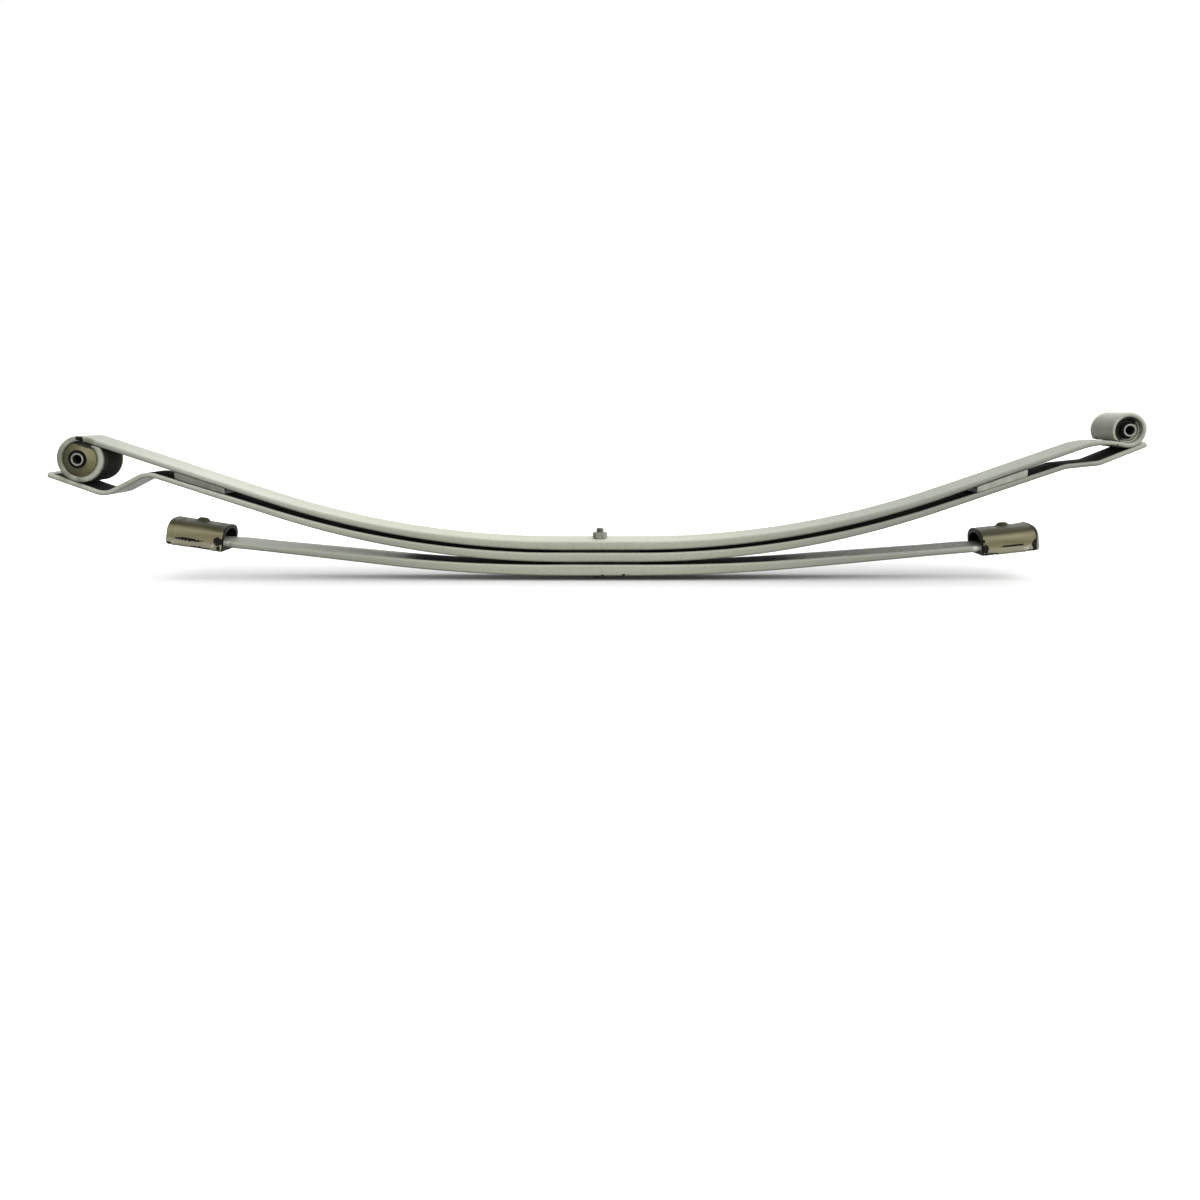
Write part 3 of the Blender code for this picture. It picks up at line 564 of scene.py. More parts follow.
def bush_rubber():
    """Rubber with a brown coat, uncoated and black in the groove by the sleeve, and with a painted shadow
    of the leaf across its top.
    """
    look = Look("bush_rubber", (0.130, 0.125, 0.058), specular=0.15)
    look.over(look.mottle(70.0), (0.185, 0.175, 0.092))
    look.over(look.span(look.noise(420.0), 0.55, 0.8, 0.0, 0.3), (0.08, 0.075, 0.040))
    look.over(look.span(look.across("X"), *BUSH_SHADE), (0.040, 0.038, 0.020))
    groove = look.band(SLEEVE_DIA / 2, GROOVE_BARE, 1.0, 0.0)
    # Painted shadow of the leaf across the top of the face
    up = look.math("ADD", look.across("X", sin(LEFT.slope)), look.across("Z", cos(LEFT.slope)))
    covered = look.math("ADD", up, look.uneven(300.0, -LEAF_SHADOW_RAGGED, LEAF_SHADOW_RAGGED))
    bare = look.math("MAXIMUM", groove, look.span(covered, *LEAF_SHADOW))
    look.over(bare, (0.008, 0.008, 0.007))
    return look.finish(look.uneven(260.0, 0.42, 0.6), look.bump(look.noise(500.0), 0.12, 0.0002))


def deep_rubber():
    """Black rubber deep in the right eye, with painted light low and to the right in its groove."""
    look = Look("deep_rubber", (0.006, 0.006, 0.005), specular=0.15)
    look.over(look.mottle(150.0), (0.016, 0.015, 0.012))
    groove = look.band(SLEEVE_DIA / 2, GROOVE_LIT)
    # Painted light in the groove, low and to the right
    look.over(look.math("MULTIPLY", groove, painted_eye_light(look)), (0.40, 0.42, 0.34))
    return look.finish(look.uneven(260.0, 0.5, 0.7), look.bump(look.noise(600.0), 0.12, 0.0002))


def buffer_rubber():
    """Black rubber, lighter grey on the outer end that the film leaves free."""
    look = Look("buffer_rubber", (0.007, 0.007, 0.006), specular=0.06)
    look.over(look.mottle(120.0, 4.0), (0.020, 0.018, 0.015))
    look.over(look.span(look.noise(500.0), 0.62, 0.8, 0.0, 0.5), (0.08, 0.075, 0.06))
    # Lighter grey on the outer end
    start, end = (RIGHT.helper_reach + past for past in SHOE_END_GREY)
    look.over(look.span(look.across("X"), start, end), (0.30, 0.302, 0.265))
    return look.finish(look.uneven(300.0, 0.45, 0.65), look.bump(look.noise(450.0), 0.15, 0.0003))


def buffer_film():
    """Brown film drawn over the rubber, streaked lengthways, with painted shade on the crown and painted
    highlights along its creases.
    """
    look = Look("buffer_film", (0.180, 0.165, 0.090), specular=0.1)
    streaks = look.noise(150.0, 3.0, (0.06, 1.0, 1.0))
    blotches = look.noise(45.0, 3.0)
    look.over(look.span(streaks, *DRIFT), (0.290, 0.270, 0.165))
    look.over(look.span(blotches, 0.5, 0.8, 0.0, 0.4), (0.31, 0.29, 0.19))
    uneven = look.span(streaks, *DRIFT, -FILM_UNEVEN, FILM_UNEVEN)
    height = look.math("ADD", look.attribute("height"), uneven)
    # Painted shade on the crown, where the leaves above keep the light off
    look.over(look.span(height, *FILM_CROWN_SHADE, 0.0, 0.85), (0.035, 0.033, 0.020))
    look.over(look.span(height, *FILM_HEM, 0.36, 0.0), (0.52, 0.51, 0.42))
    # Painted highlights along creases and the film's cut edge
    look.over(look.spots(FILM_CREASE_HIGHLIGHTS, look.noise(500.0)), (0.62, 0.61, 0.53))
    return look.finish(look.uneven(90.0, 0.4, 0.55), look.bump(streaks, 0.25, 0.0006))


def shade(mesh):
    mesh.shade_smooth()
    mesh.set_sharp_from_angle(angle=SHARP_ANGLE)


def piece_from(name, shape, material):
    """A smooth-shaded object from a shape drawn in place."""
    mesh = bpy.data.meshes.new(name)
    shape.to_mesh(mesh)
    shape.free()
    mesh.materials.append(material)
    shade(mesh)
    piece = bpy.data.objects.new(name, mesh)
    bpy.context.scene.collection.objects.link(piece)
    return piece


def loft(rings, closed=False):
    """A skin through rings of points, capped unless the rings close on themselves."""
    shape = bmesh.new()
    loops = [[shape.verts.new(point) for point in ring] for ring in rings]
    pairs = list(zip(loops, loops[1:]))
    if closed:
        pairs.append((loops[-1], loops[0]))
    else:
        shape.faces.new(loops[0])
        shape.faces.new(loops[-1])
    for near, far in pairs:
        for i, corner in enumerate(near):
            j = (i + 1) % len(near)
            shape.faces.new((corner, near[j], far[j], far[i]))
    bmesh.ops.recalc_face_normals(shape, faces=shape.faces)
    return shape


def fan(end, steps, start=0.0):
    """Angles from start to end in even steps."""
    return [start + (end - start) * i / steps for i in range(steps + 1)]


def round_angles(steps=TURN_STEPS):
    return fan(2 * pi, steps)[:-1]


def turned(profile):
    """A ring turned about the Y axis from a closed profile of (radius, y)."""
    rings = [[(r * cos(a), y, r * sin(a)) for r, y in profile] for a in round_angles()]
    return loft(rings, closed=True)


def rounded(corners):
    """A closed outline from corners of (first, second, radius), each rounded by an arc."""
    points = []
    for i, (a, b, radius) in enumerate(corners):
        here = Vector((a, b))
        before = (Vector(corners[i - 1][:2]) - here).normalized()
        after = (Vector(corners[(i + 1) % len(corners)][:2]) - here).normalized()
        half = before.angle(after) / 2
        setback = radius / tan(half)
        middle = here + (before + after).normalized() * radius / sin(half)
        start, end = here + before * setback - middle, here + after * setback - middle
        for k in range(ROUND_STEPS + 1):
            points.append(tuple(middle + start.slerp(end, k / ROUND_STEPS) * radius))
    return points


def rod(radius, length, foot, along):
    """A round bar from its foot."""
    side = Vector((0.0, 1.0, 0.0))
    front = side.cross(along)
    rings = []
    for height in (0.0, length):
        centre = foot + along * height
        around = [front * cos(a) + side * sin(a) for a in round_angles(HOLE_STEPS)]
        rings.append([centre + way * radius for way in around])
    return loft(rings)


def cut(piece, shape):
    """Cuts a shape from a piece and keeps the result as the piece's mesh."""
    cutter = piece_from("cutter", shape, piece.data.materials[0])
    boolean = piece.modifiers.new("cut", "BOOLEAN")
    boolean.operation = "DIFFERENCE"
    boolean.object = cutter
    evaluated = piece.evaluated_get(bpy.context.evaluated_depsgraph_get())
    mesh = bpy.data.meshes.new_from_object(evaluated)
    piece.modifiers.clear()
    piece.data = mesh
    bpy.data.objects.remove(cutter)
    shade(mesh)


def arc(centre, radius, start, end, steps):
    angles = fan(end, steps, start)
    return [(centre[0] + radius * cos(a), centre[1] + radius * sin(a)) for a in angles]


def rounding(radius, steps):
    """A rounded end as steps of (distance in from the end, inset of the section)."""
    return [(radius * (1 - sin(a)), radius * (1 - cos(a))) for a in fan(pi / 2, steps)]


def section_of(half_width, below, above):
    """A leaf's section as (y, height) points, its edges rounded and its flats divided."""
    radius = min(LEAF_EDGE_RADIUS, MOST_EDGE_SHARE * (below + above))
    quarter = pi / 2
    y, low, high = half_width - radius, -below + radius, above - radius
    corners = ((y, low, -1), (y, high, 0), (-y, high, 1), (-y, low, 2))
    arcs = []
    for *middle, turn in corners:
        arcs.append(arc(middle, radius, turn * quarter, (turn + 1) * quarter, CORNER_STEPS))
    points = []
    for corner, after, steps in zip(arcs, arcs[1:] + arcs[:1], (EDGE_STEPS, FLAT_STEPS) * 2):
        start, end = Vector(corner[-1]), Vector(after[0])
        points += corner + [tuple(start.lerp(end, k / steps)) for k in range(1, steps)]
    return points


def walk(moves, height):
    """Stations outwards from the bolt. A move is (length, turn, steps)."""
    x, z, heading, run = 0.0, height, 0.0, 0.0
    stations = [Station(Vector((x, z)), Vector((0.0, 1.0)), run, heading)]
    for length, turn, steps in moves:
        step, bend = length / steps, turn / steps
        chord = step * sin(bend / 2) / (bend / 2) if bend else step
        for _ in range(steps):
            x += chord * cos(heading + bend / 2)
            z += chord * sin(heading + bend / 2)
            heading += bend
            run += step
            up = Vector((-sin(heading), cos(heading)))
            stations.append(Station(Vector((x, z)), up, run, heading))
    return stations


def straight(length):
    return (length, 0.0, max(1, round(length / STRAIGHT_STEP)))


def bent_moves(corners, end_x):
    """Moves through rounded corners of (x, heading after, radius, facet angle), out to end_x."""
    moves = [straight(SEAT_HALF)]
    heading, last_x, used = 0.0, None, 0.0
    for x, after, radius, facet in corners:
        turn = after - heading
        tangent = radius * tan(abs(turn) / 2)
        if last_x is not None:
            moves.append(straight((x - last_x) / cos(heading) - used - tangent))
        moves.append((radius * abs(turn), turn, max(2, round(abs(turn) / facet))))
        heading, last_x, used = after, x, tangent
    moves.append(straight((end_x - last_x) / cos(heading) - used))
    return moves


def first_corner(radius, slope):
    """Where the flat seat's line and the arm's line cross."""
    return SEAT_HALF + radius * tan(slope / 2)


def parabolic_depths(stations, thick, tip_thick, reach):
    """Half depths of a leaf that thins by the square root of the distance to its load."""
    least = (tip_thick / thick) ** 2
    shares = [(reach - station.run) / (reach - SEAT_HALF) for station in stations]
    return [thick / 2 * sqrt(min(max(share, least), 1.0)) for share in shares]


def main_arm(side, reach):
    """One arm of the main leaf with its rolled eye, and the eye it makes."""
    bore = side.bush_dia / 2 + CLEARANCE
    middle = bore + side.eye_thick / 2
    corners = [(first_corner(side.radius, side.slope), side.slope, side.radius, ARM_STEP)]
    if side.crest:
        back, dip, crest_radius = side.crest
        corners.append((reach - back, -dip, crest_radius, BEND_STEP))
    heading = corners[-1][1]
    turn = -1 if side.rolls_down else 1
    moves = bent_moves(corners, reach + turn * middle * sin(heading))
    roll_start = sum(steps for _, _, steps in moves)
    moves.append((middle * side.wrap, turn * side.wrap, round(side.wrap / ROLL_STEP)))
    stations = walk(moves, MAIN_BASE + MAIN_THICK / 2)
    centre = stations[roll_start].point + stations[roll_start].up * turn * middle
    inner = parabolic_depths(stations, MAIN_THICK, side.eye_thick, reach)
    outer = list(inner)
    if side.thin:
        depth, turned_by = side.thin
        for i in range(roll_start, len(stations)):
            left_to_roll = side.wrap - abs(stations[i].heading - heading)
            inner[i] -= depth * smooth(1 - left_to_roll / turned_by)
    for i in range(roll_start + 1, len(stations)):
        left_to_close = 2 * pi - abs(stations[i].heading - heading)
        if left_to_close < pi / 2:
            room = bore / cos(left_to_close) - SCROLL_GAP - middle
            outer[i] = min(outer[i], room)
    below, above = (inner, outer) if side.rolls_down else (outer, inner)
    arm = Arm(stations, below, above, [LEAF_WIDTH / 2] * len(stations))
    return arm, Eye(centre.x, centre.y, bore + side.eye_thick)


def second_arm(side, eye):
    """One arm of the second leaf: down a step and along under the eye."""
    slope = side.slope - SECOND_EASE
    height = SECOND_BASE + SECOND_THICK / 2
    start_x = first_corner(side.radius, slope)
    step_x = eye.x - side.step_back
    step_z = height + tan(slope) * (step_x - start_x)
    offset = eye.outer + WRAP_GAP + SECOND_TIP_THICK / 2
    tail_x = eye.x + offset * sin(side.tail_slope)
    tail_z = eye.z - offset * cos(side.tail_slope)
    fall, rise = tan(side.step_drop), tan(side.tail_slope)
    meet_x = (step_z + fall * step_x - tail_z + rise * tail_x) / (fall + rise)
    corners = [
        (start_x, slope, side.radius, ARM_STEP),
        (step_x, -side.step_drop, STEP_RADIUS, BEND_STEP),
        (meet_x, side.tail_slope, STEP_RADIUS, BEND_STEP),
    ]
    stations = walk(bent_moves(corners, eye.x + side.tail_past), height)
    depths = parabolic_depths(stations, SECOND_THICK, SECOND_TIP_THICK, eye.x + SECOND_TAPER_PAST)
    return Arm(stations, depths, depths, [LEAF_WIDTH / 2] * len(stations))


def smooth(share):
    """Eases from 0 to 1 and holds at both ends."""
    share = min(max(share, 0.0), 1.0)
    return share * share * (3 - 2 * share)


def helper_arm(side):
    """One arm of the helper leaf, necked down to the tongue under its buffer."""
    start = first_corner(side.helper_radius, side.helper_slope)
    corners = [(start, side.helper_slope, side.helper_radius, ARM_STEP / 2)]
    moves = bent_moves(corners, side.helper_reach)
    length, _, _ = moves.pop()
    moves += [straight(length - HELPER_NECK_LENGTH - BUFFER_COVER)]
    moves += [(HELPER_NECK_LENGTH, 0.0, NECK_STEPS), straight(BUFFER_COVER)]
    stations = walk(moves, HELPER_BASE + HELPER_THICK / 2)
    depths = parabolic_depths(stations, HELPER_THICK, HELPER_TIP_THICK, side.helper_reach)
    neck_end = stations[-1].run - BUFFER_COVER
    halves = []
    for station in stations:
        necked = smooth(1 - (neck_end - station.run) / HELPER_NECK_LENGTH)
        halves.append((LEAF_WIDTH + necked * (HELPER_TIP_WIDTH - LEAF_WIDTH)) / 2)
    return Arm(stations, depths, depths, halves)


def ring_at(point, up, sign, half_width, below, above):
    """A leaf's section in place, with the slight unevenness of the rolled bar."""
    ring = []
    for y, h in section_of(half_width, below, above):
        place = Vector((sign * (point.x + up.x * h), y, point.y + up.y * h))
        swell = noise.noise(place / DENT_SIZE) * DENT_DEPTH
        out = Vector((sign * up.x, 0.0, up.y)) * (1 if h > 0 else -1)
        ring.append(place + out * swell)
    return ring


def leaf_rings(arm, sign, cropped_tip):
    """Sections of a leaf from the bolt to its tip."""
    rings = []
    for station, below, above, half in zip(*arm):
        rings.append(ring_at(station.point, station.up, sign, half, below, above))
    if cropped_tip:
        tip, below, above, half = (values[-1] for values in arm)
        along = Vector((tip.up.y, -tip.up.x))
        reached = [i for i, s in enumerate(arm.stations) if (tip.point - s.point).length > TIP_CORNER]
        rings = rings[: reached[-1] + 1]
        for back, inset in rounding(TIP_CORNER, TIP_CORNER_STEPS):
            rings.append(ring_at(tip.point - along * back, tip.up, sign, half - inset, below, above))
    return rings


def from_edge(vert):
    """How far in from its leaf's long edges a place lies, 1 past the spray's reach."""
    return smooth((LEAF_WIDTH / 2 - abs(vert.co.y)) / SPRAY_REACH)


def leave_bare_and_shaded(piece, facing, dark_span, thin=0.0):
    """Marks a leaf's upper (1) or under (-1) face dark: unpainted steel deep in the gaps, and painted shade
    on the tail under the eye and on the helper's top beneath the upper leaves.
    """
    start, end = dark_span
    marks = piece.data.attributes.get("bare") or piece.data.attributes.new("bare", "FLOAT", "POINT")
    for vert in piece.data.vertices:
        if vert.normal.z * facing > FACE_TILT:
            # Past the span a share of the mark stays, as painted shade on the right helper's top
            along = 1 - (1 - thin) * smooth((abs(vert.co.x) - start) / (end - start))
            marks.data[vert.index].value = from_edge(vert) * along


def leave_eye_bare_and_shaded(piece, side, eye):
    """Marks dark the side of a rolled eye that lies under the leaves above and below, as painted shade over
    steel that the spray missed.
    """
    marks = piece.data.attributes["bare"]
    centre = Vector((side.sign * eye.x, 0.0, eye.z))
    for vert in piece.data.vertices:
        away = vert.co - centre
        away.y = 0.0
        if away.length < eye.outer + SCROLL_GAP and vert.normal.dot(away) > 0:
            covered = smooth(EYE_SHADE_TURN * vert.normal.x * -side.sign)
            covered *= smooth((EYE_SHADE_TOP - vert.normal.z) / EYE_SHADE_FADE)
            marks.data[vert.index].value = from_edge(vert) * covered


def add_leaf(node, side, arm, material):
    """Half a leaf with its holes and its rest shape."""
    rings = leaf_rings(arm, side.sign, node != "main_leaf")
    piece = piece_from(f"{node}_{side.name}", loft(rings), material)
    cut(piece, rod(BOLT_HOLE_DIA / 2, MAIN_BASE + 2 * MAIN_THICK, Vector(), Vector((0.0, 0.0, 1.0))))
    if node == "second_leaf":
        low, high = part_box(f"{side.name}_tip_rivet")
        slope = side.slope - SECOND_EASE
        along = Vector((-side.sign * sin(slope), 0.0, cos(slope)))
        foot = (low + high) / 2 - along * SECOND_THICK
        cut(piece, rod(RIVET_HOLE_DIA / 2, 2 * SECOND_THICK, foot, along))
    rest = piece.data.attributes.new("rest", "FLOAT_VECTOR", "POINT")
    for vert in piece.data.vertices:
        rest.data[vert.index].vector = vert.co
    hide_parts(node)
    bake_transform(piece)
    return piece


def stand_in(piece, node, body):
    """Lets a piece ride on a body in a node's place."""
    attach(piece, body)
    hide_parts(node)


def add_round(side, kind, half, material, body):
    """A turned piece of a bush from half its profile, with its own origin on the eye's axis."""
    mirrored = [(r, -y, edge) for r, y, edge in reversed(half)]
    piece = piece_from(f"{side.name}_{kind}", turned(rounded(half + mirrored)), material)
    piece.location = JOINT_PLACES[f"{side.name}_bush_twist"]
    stand_in(piece, f"{side.name}_bush_{kind}", f"{side.name}_{body}")


def add_bush(side, looks):
    """Shell, rubber and sleeve of one eye, with rounded edges and moulded grooves."""
    outside = side.bush_dia / 2
    inside = outside - SHELL_WALL
    shell_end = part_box(f"{side.name}_bush_shell")[1].y
    shell = [(inside, shell_end, SHELL_EDGE), (outside, shell_end, SHELL_EDGE)]
    add_round(side, "shell", shell, looks["shell"], "arm")

    hole = SLEEVE_DIA / 2 + CLEARANCE
    body = inside - CLEARANCE
    face = LEAF_WIDTH / 2 - side.face_recess
    boss = face + side.face_rise
    floor = boss - side.groove_depth
    groove = hole + side.groove_width
    rubber = [(hole, floor, GROOVE_EDGE), (groove - GROOVE_DRAFT, floor, GROOVE_EDGE)]
    rubber += [(groove, boss, BOSS_EDGE)]
    if face > shell_end:
        rim = shell_end + CLEARANCE
        lip = outside - LIP_INSET
        rubber += [(lip, face, LIP_EDGE), (lip, rim, RIM_EDGE), (body, rim, RIM_EDGE)]
    else:
        rubber += [(body, face, DEEP_EDGE)]
    material = looks["bush_rubber"] if side.rolls_down else looks["deep_rubber"]
    add_round(side, "rubber", rubber, material, "arm")

    bore, outer = SLEEVE_BORE / 2, SLEEVE_DIA / 2
    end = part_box(f"{side.name}_bush_sleeve")[1].y
    sleeve = [(bore, end - SLEEVE_CHAMFER, BORE_EDGE), (bore + SLEEVE_CHAMFER, end, BORE_EDGE)]
    sleeve += [(outer, end, SLEEVE_EDGE)]
    add_round(side, "sleeve", sleeve, looks["sleeve"], "sleeve")


def surface_at(arm, reach, above):
    """The point (x, z) of an arm's top or underside at a distance out from the bolt."""
    depths, sign = (arm.above, 1) if above else (arm.below, -1)
    edge = [station.point + station.up * sign * depth for station, depth in zip(arm.stations, depths)]
    first, last = next(pair for pair in zip(edge, edge[1:]) if pair[0].x <= reach <= pair[1].x)
    return first.lerp(last, (reach - first.x) / (last.x - first.x))


def add_tip_liner(side, main_leaf, second_leaf, look):
    """The spacer that fills the room between the two upper leaves near their tips."""
    half_width = LEAF_WIDTH / 2 - TIP_LINER_INSET
    rings = []
    for k in range(LINER_STEPS + 1):
        place = liner_start(side) + TIP_LINER_LENGTH * (k / LINER_STEPS)
        low = surface_at(second_leaf, place, True)
        high = surface_at(main_leaf, place, False)
        up = (high - low).normalized()
        low += up * side.line_under_liner
        height = (high - low).length - side.line_over_liner
        shy = LINER_EDGE if k in (0, LINER_STEPS) else 0.0
        corners = [
            (half_width - shy, shy, LINER_EDGE), (half_width - shy, height - shy, LINER_EDGE),
            (shy - half_width, height - shy, LINER_EDGE), (shy - half_width, shy, LINER_EDGE),
        ]
        section = [(y, low + up * h) for y, h in rounded(corners)]
        rings.append([(side.sign * spot.x, y, spot.y) for y, spot in section])
    piece = piece_from(f"{side.name}_spacer", loft(rings), look)
    stand_in(piece, f"{side.name}_tip_liner", f"{side.name}_arm")


def add_bolt(look):
    """Centre bolt: round locating head, plain shank and a cut thread where the nut sits."""
    low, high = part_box("centre_bolt")
    head_radius = (high.x - low.x) / 2
    head_top = HELPER_BASE - CLEARANCE
    radius = BOLT_DIA / 2
    thread_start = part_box("centre_nut")[0].z - THREAD_PITCH
    levels = [
        (low.z, head_radius - HEAD_EDGE), (low.z + HEAD_EDGE, head_radius),
        (head_top - HEAD_EDGE / 2, head_radius), (head_top, head_radius - HEAD_EDGE / 2),
        (head_top, radius),
    ]
    rings = [[(r * cos(a), r * sin(a), z) for a in round_angles()] for z, r in levels]
    turns = ceil((high.z - thread_start) / THREAD_PITCH * THREAD_STEPS)
    for k in range(turns + 1):
        z = thread_start + (high.z - thread_start) * k / turns
        end_limit = radius - max(0.0, z - high.z + BOLT_END_ROUND)
        ring = []
        for a in round_angles():
            phase = (z / THREAD_PITCH - a / (2 * pi)) % 1.0
            cut_in = THREAD_DEPTH * abs(2 * phase - 1) * smooth((z - thread_start) / THREAD_PITCH)
            r = min(radius - cut_in, end_limit)
            ring.append((r * cos(a), r * sin(a), z))
        rings.append(ring)
    piece = piece_from("bolt", loft(rings), look)
    stand_in(piece, "centre_bolt", "spring_pack")


def add_nut(look):
    """Hexagon nut with flats to the front and both faces chamfered by a cone."""
    low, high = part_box("centre_nut")
    flat = NUT_ACROSS_FLATS / 2
    face = flat * NUT_FACE_SHARE
    hole = BOLT_DIA / 2 + CLEARANCE
    sixth = pi / 3
    columns = []
    for a in round_angles():
        edge = flat / cos(a % sixth - sixth / 2)
        drop = (edge - face) * tan(NUT_CHAMFER_ANGLE)
        levels = (
            (face, low.z), (edge, low.z + drop), (edge, high.z - drop), (face, high.z),
            (hole, high.z - HEAD_EDGE), (hole, low.z),
        )
        columns.append([(r * cos(a), r * sin(a), z) for r, z in levels])
    piece = piece_from("nut", loft(list(zip(*columns)), closed=True), look)
    stand_in(piece, "centre_nut", "spring_pack")


def evenly(points, count):
    """Points spaced evenly along a closed outline."""
    spots = [Vector(point) for point in points]
    sides = list(zip(spots, spots[1:] + spots[:1]))
    total = sum((last - first).length for first, last in sides)
    placed, passed, wanted = [], 0.0, 0.0
    for first, last in sides:
        length = (last - first).length
        while len(placed) < count and wanted <= passed + length:
            placed.append(first.lerp(last, (wanted - passed) / length))
            wanted += total / count
        passed += length
    return placed


def shoe_section(inset):
    """A buffer's arched section as (y, h), all round from the middle of its foot."""
    half_tip = HELPER_TIP_THICK / 2
    half = HELPER_TIP_WIDTH / 2 + CLEARANCE + BUFFER_SIDE_WALL - inset
    foot = -half_tip - CLEARANCE - BUFFER_FLOOR + inset
    crown = half_tip + BUFFER_CROWN - inset
    spring = half_tip + BUFFER_CROWN - BUFFER_ARCH_HEIGHT
    near = arc((BUFFER_FOOT_ROUND - half, foot + BUFFER_FOOT_ROUND), BUFFER_FOOT_ROUND,
               1.5 * pi, pi, END_STEPS)
    for angle in fan(pi / 2, TUNNEL_STEPS)[:-1]:
        y = -half * cos(angle) ** (2 / BUFFER_ARCH_POWER)
        near.append((y, spring + (crown - spring) * sin(angle) ** (2 / BUFFER_ARCH_POWER)))
    far = [(-y, h) for y, h in reversed(near)]
    return evenly([(0.0, foot)] + near + [(0.0, crown)] + far, SHOE_POINTS)


def nub_lift(u, y, h):
    """How far the round nub in the middle of the crown lifts a place on the buffer."""
    if h < 0:
        return 0.0
    share = hypot(u, y) / NUB_RADIUS
    return NUB_HEIGHT * smooth((1 - share) / NUB_FLANK)


def shoe_places(side, arm):
    """Ways to place (u, y, h): along the leaf from its tip, and along the tilted buffer from its middle."""
    tip, up = arm.stations[-1].point, arm.stations[-1].up
    along = Vector((up.y, -up.x))
    middle = tip + along * (CLEARANCE + BUFFER_END_WALL - BUFFER_LENGTH / 2)
    steep = along * cos(side.buffer_tilt) + up * sin(side.buffer_tilt)
    upright = up * cos(side.buffer_tilt) - along * sin(side.buffer_tilt)

    def placer(origin, outwards, upwards):
        def place(u, y, h):
            spot = origin + outwards * u + upwards * h
            return Vector((side.sign * spot.x, y, spot.y))
        return place

    return placer(tip, along, up), placer(middle, steep, upright)


def add_buffer(side, arm, look):
    """The rubber shoe on one end of the helper leaf, with tunnel, slot and nub."""
    on_leaf, on_shoe = shoe_places(side, arm)
    end = BUFFER_LENGTH / 2
    mouth = [(-end + back, inset) for back, inset in rounding(BUFFER_MOUTH_ROUND, END_STEPS)]
    nose = [(end - back, inset) for back, inset in rounding(BUFFER_END_ROUND, END_STEPS)]
    first, last = -end + BUFFER_MOUTH_ROUND, end - BUFFER_END_ROUND
    count = round((last - first) / SHOE_STEP)
    body = [(first + (last - first) * k / count, 0.0) for k in range(1, count)]
    rings = []
    for u, inset in mouth[::-1] + body + nose:
        ring = []
        for y, h in shoe_section(inset):
            dent = noise.noise(Vector((u, y, h)) / DENT_SIZE) * BUFFER_DENT
            ring.append(on_shoe(u, y, h + nub_lift(u, y, h) + dent))
        rings.append(ring)
    piece = piece_from(f"{side.name}_shoe", loft(rings), look)

    slot = HELPER_TIP_WIDTH / 2 + CLEARANCE
    level = HELPER_TIP_THICK / 2 + CLEARANCE
    roof = []
    for angle in fan(pi, TUNNEL_STEPS):
        roof.append((TUNNEL_HALF_WIDTH * cos(angle), level + TUNNEL_HEIGHT * sin(angle)))
    hollow = [(slot, -level), (slot, level)] + roof + [(-slot, level), (-slot, -level)]
    cut(piece, loft([[on_leaf(u, y, h) for y, h in hollow] for u in (-BUFFER_LENGTH, CLEARANCE)]))
    stand_in(piece, f"{side.name}_buffer", f"{side.name}_helper_end")


def torn(side, u, y, h):
    """Whether the film is torn open at a place on the near side."""
    if y > -TUNNEL_HALF_WIDTH:
        return False
    ragged = TEAR_RAGGED * noise.noise(Vector((u, y, h)) / FILM_RAGGED / 2)
    for middle_u, middle_h, half_u, half_h in side.tears:
        if ((u - middle_u) / half_u) ** 2 + ((h - middle_h) / half_h) ** 2 < 1 + ragged:
            return True
    return False


def film_lift(side, u, y, h, to_end):
    """How far the film stands off the rubber: streaked, puckered, flared at its end and folded once."""
    round_place = Vector((u * STREAKS_ALONG, y * STREAKS_ROUND, h * STREAKS_ROUND + side.sign))
    lift = FILM_GAP + FILM_STREAK * noise.noise(round_place)
    lift += FILM_PUCKER * noise.noise(Vector((u, y, h)) * PUCKERS)
    lift += FILM_FLARE * smooth(1 - to_end / FILM_FLARE_REACH)
    if side.film_fold and y < 0:
        lift += FILM_FOLD * exp(-(((u - side.film_fold) / FILM_FOLD_WIDTH) ** 2))
    return max(lift, FILM_LEAST_LIFT)


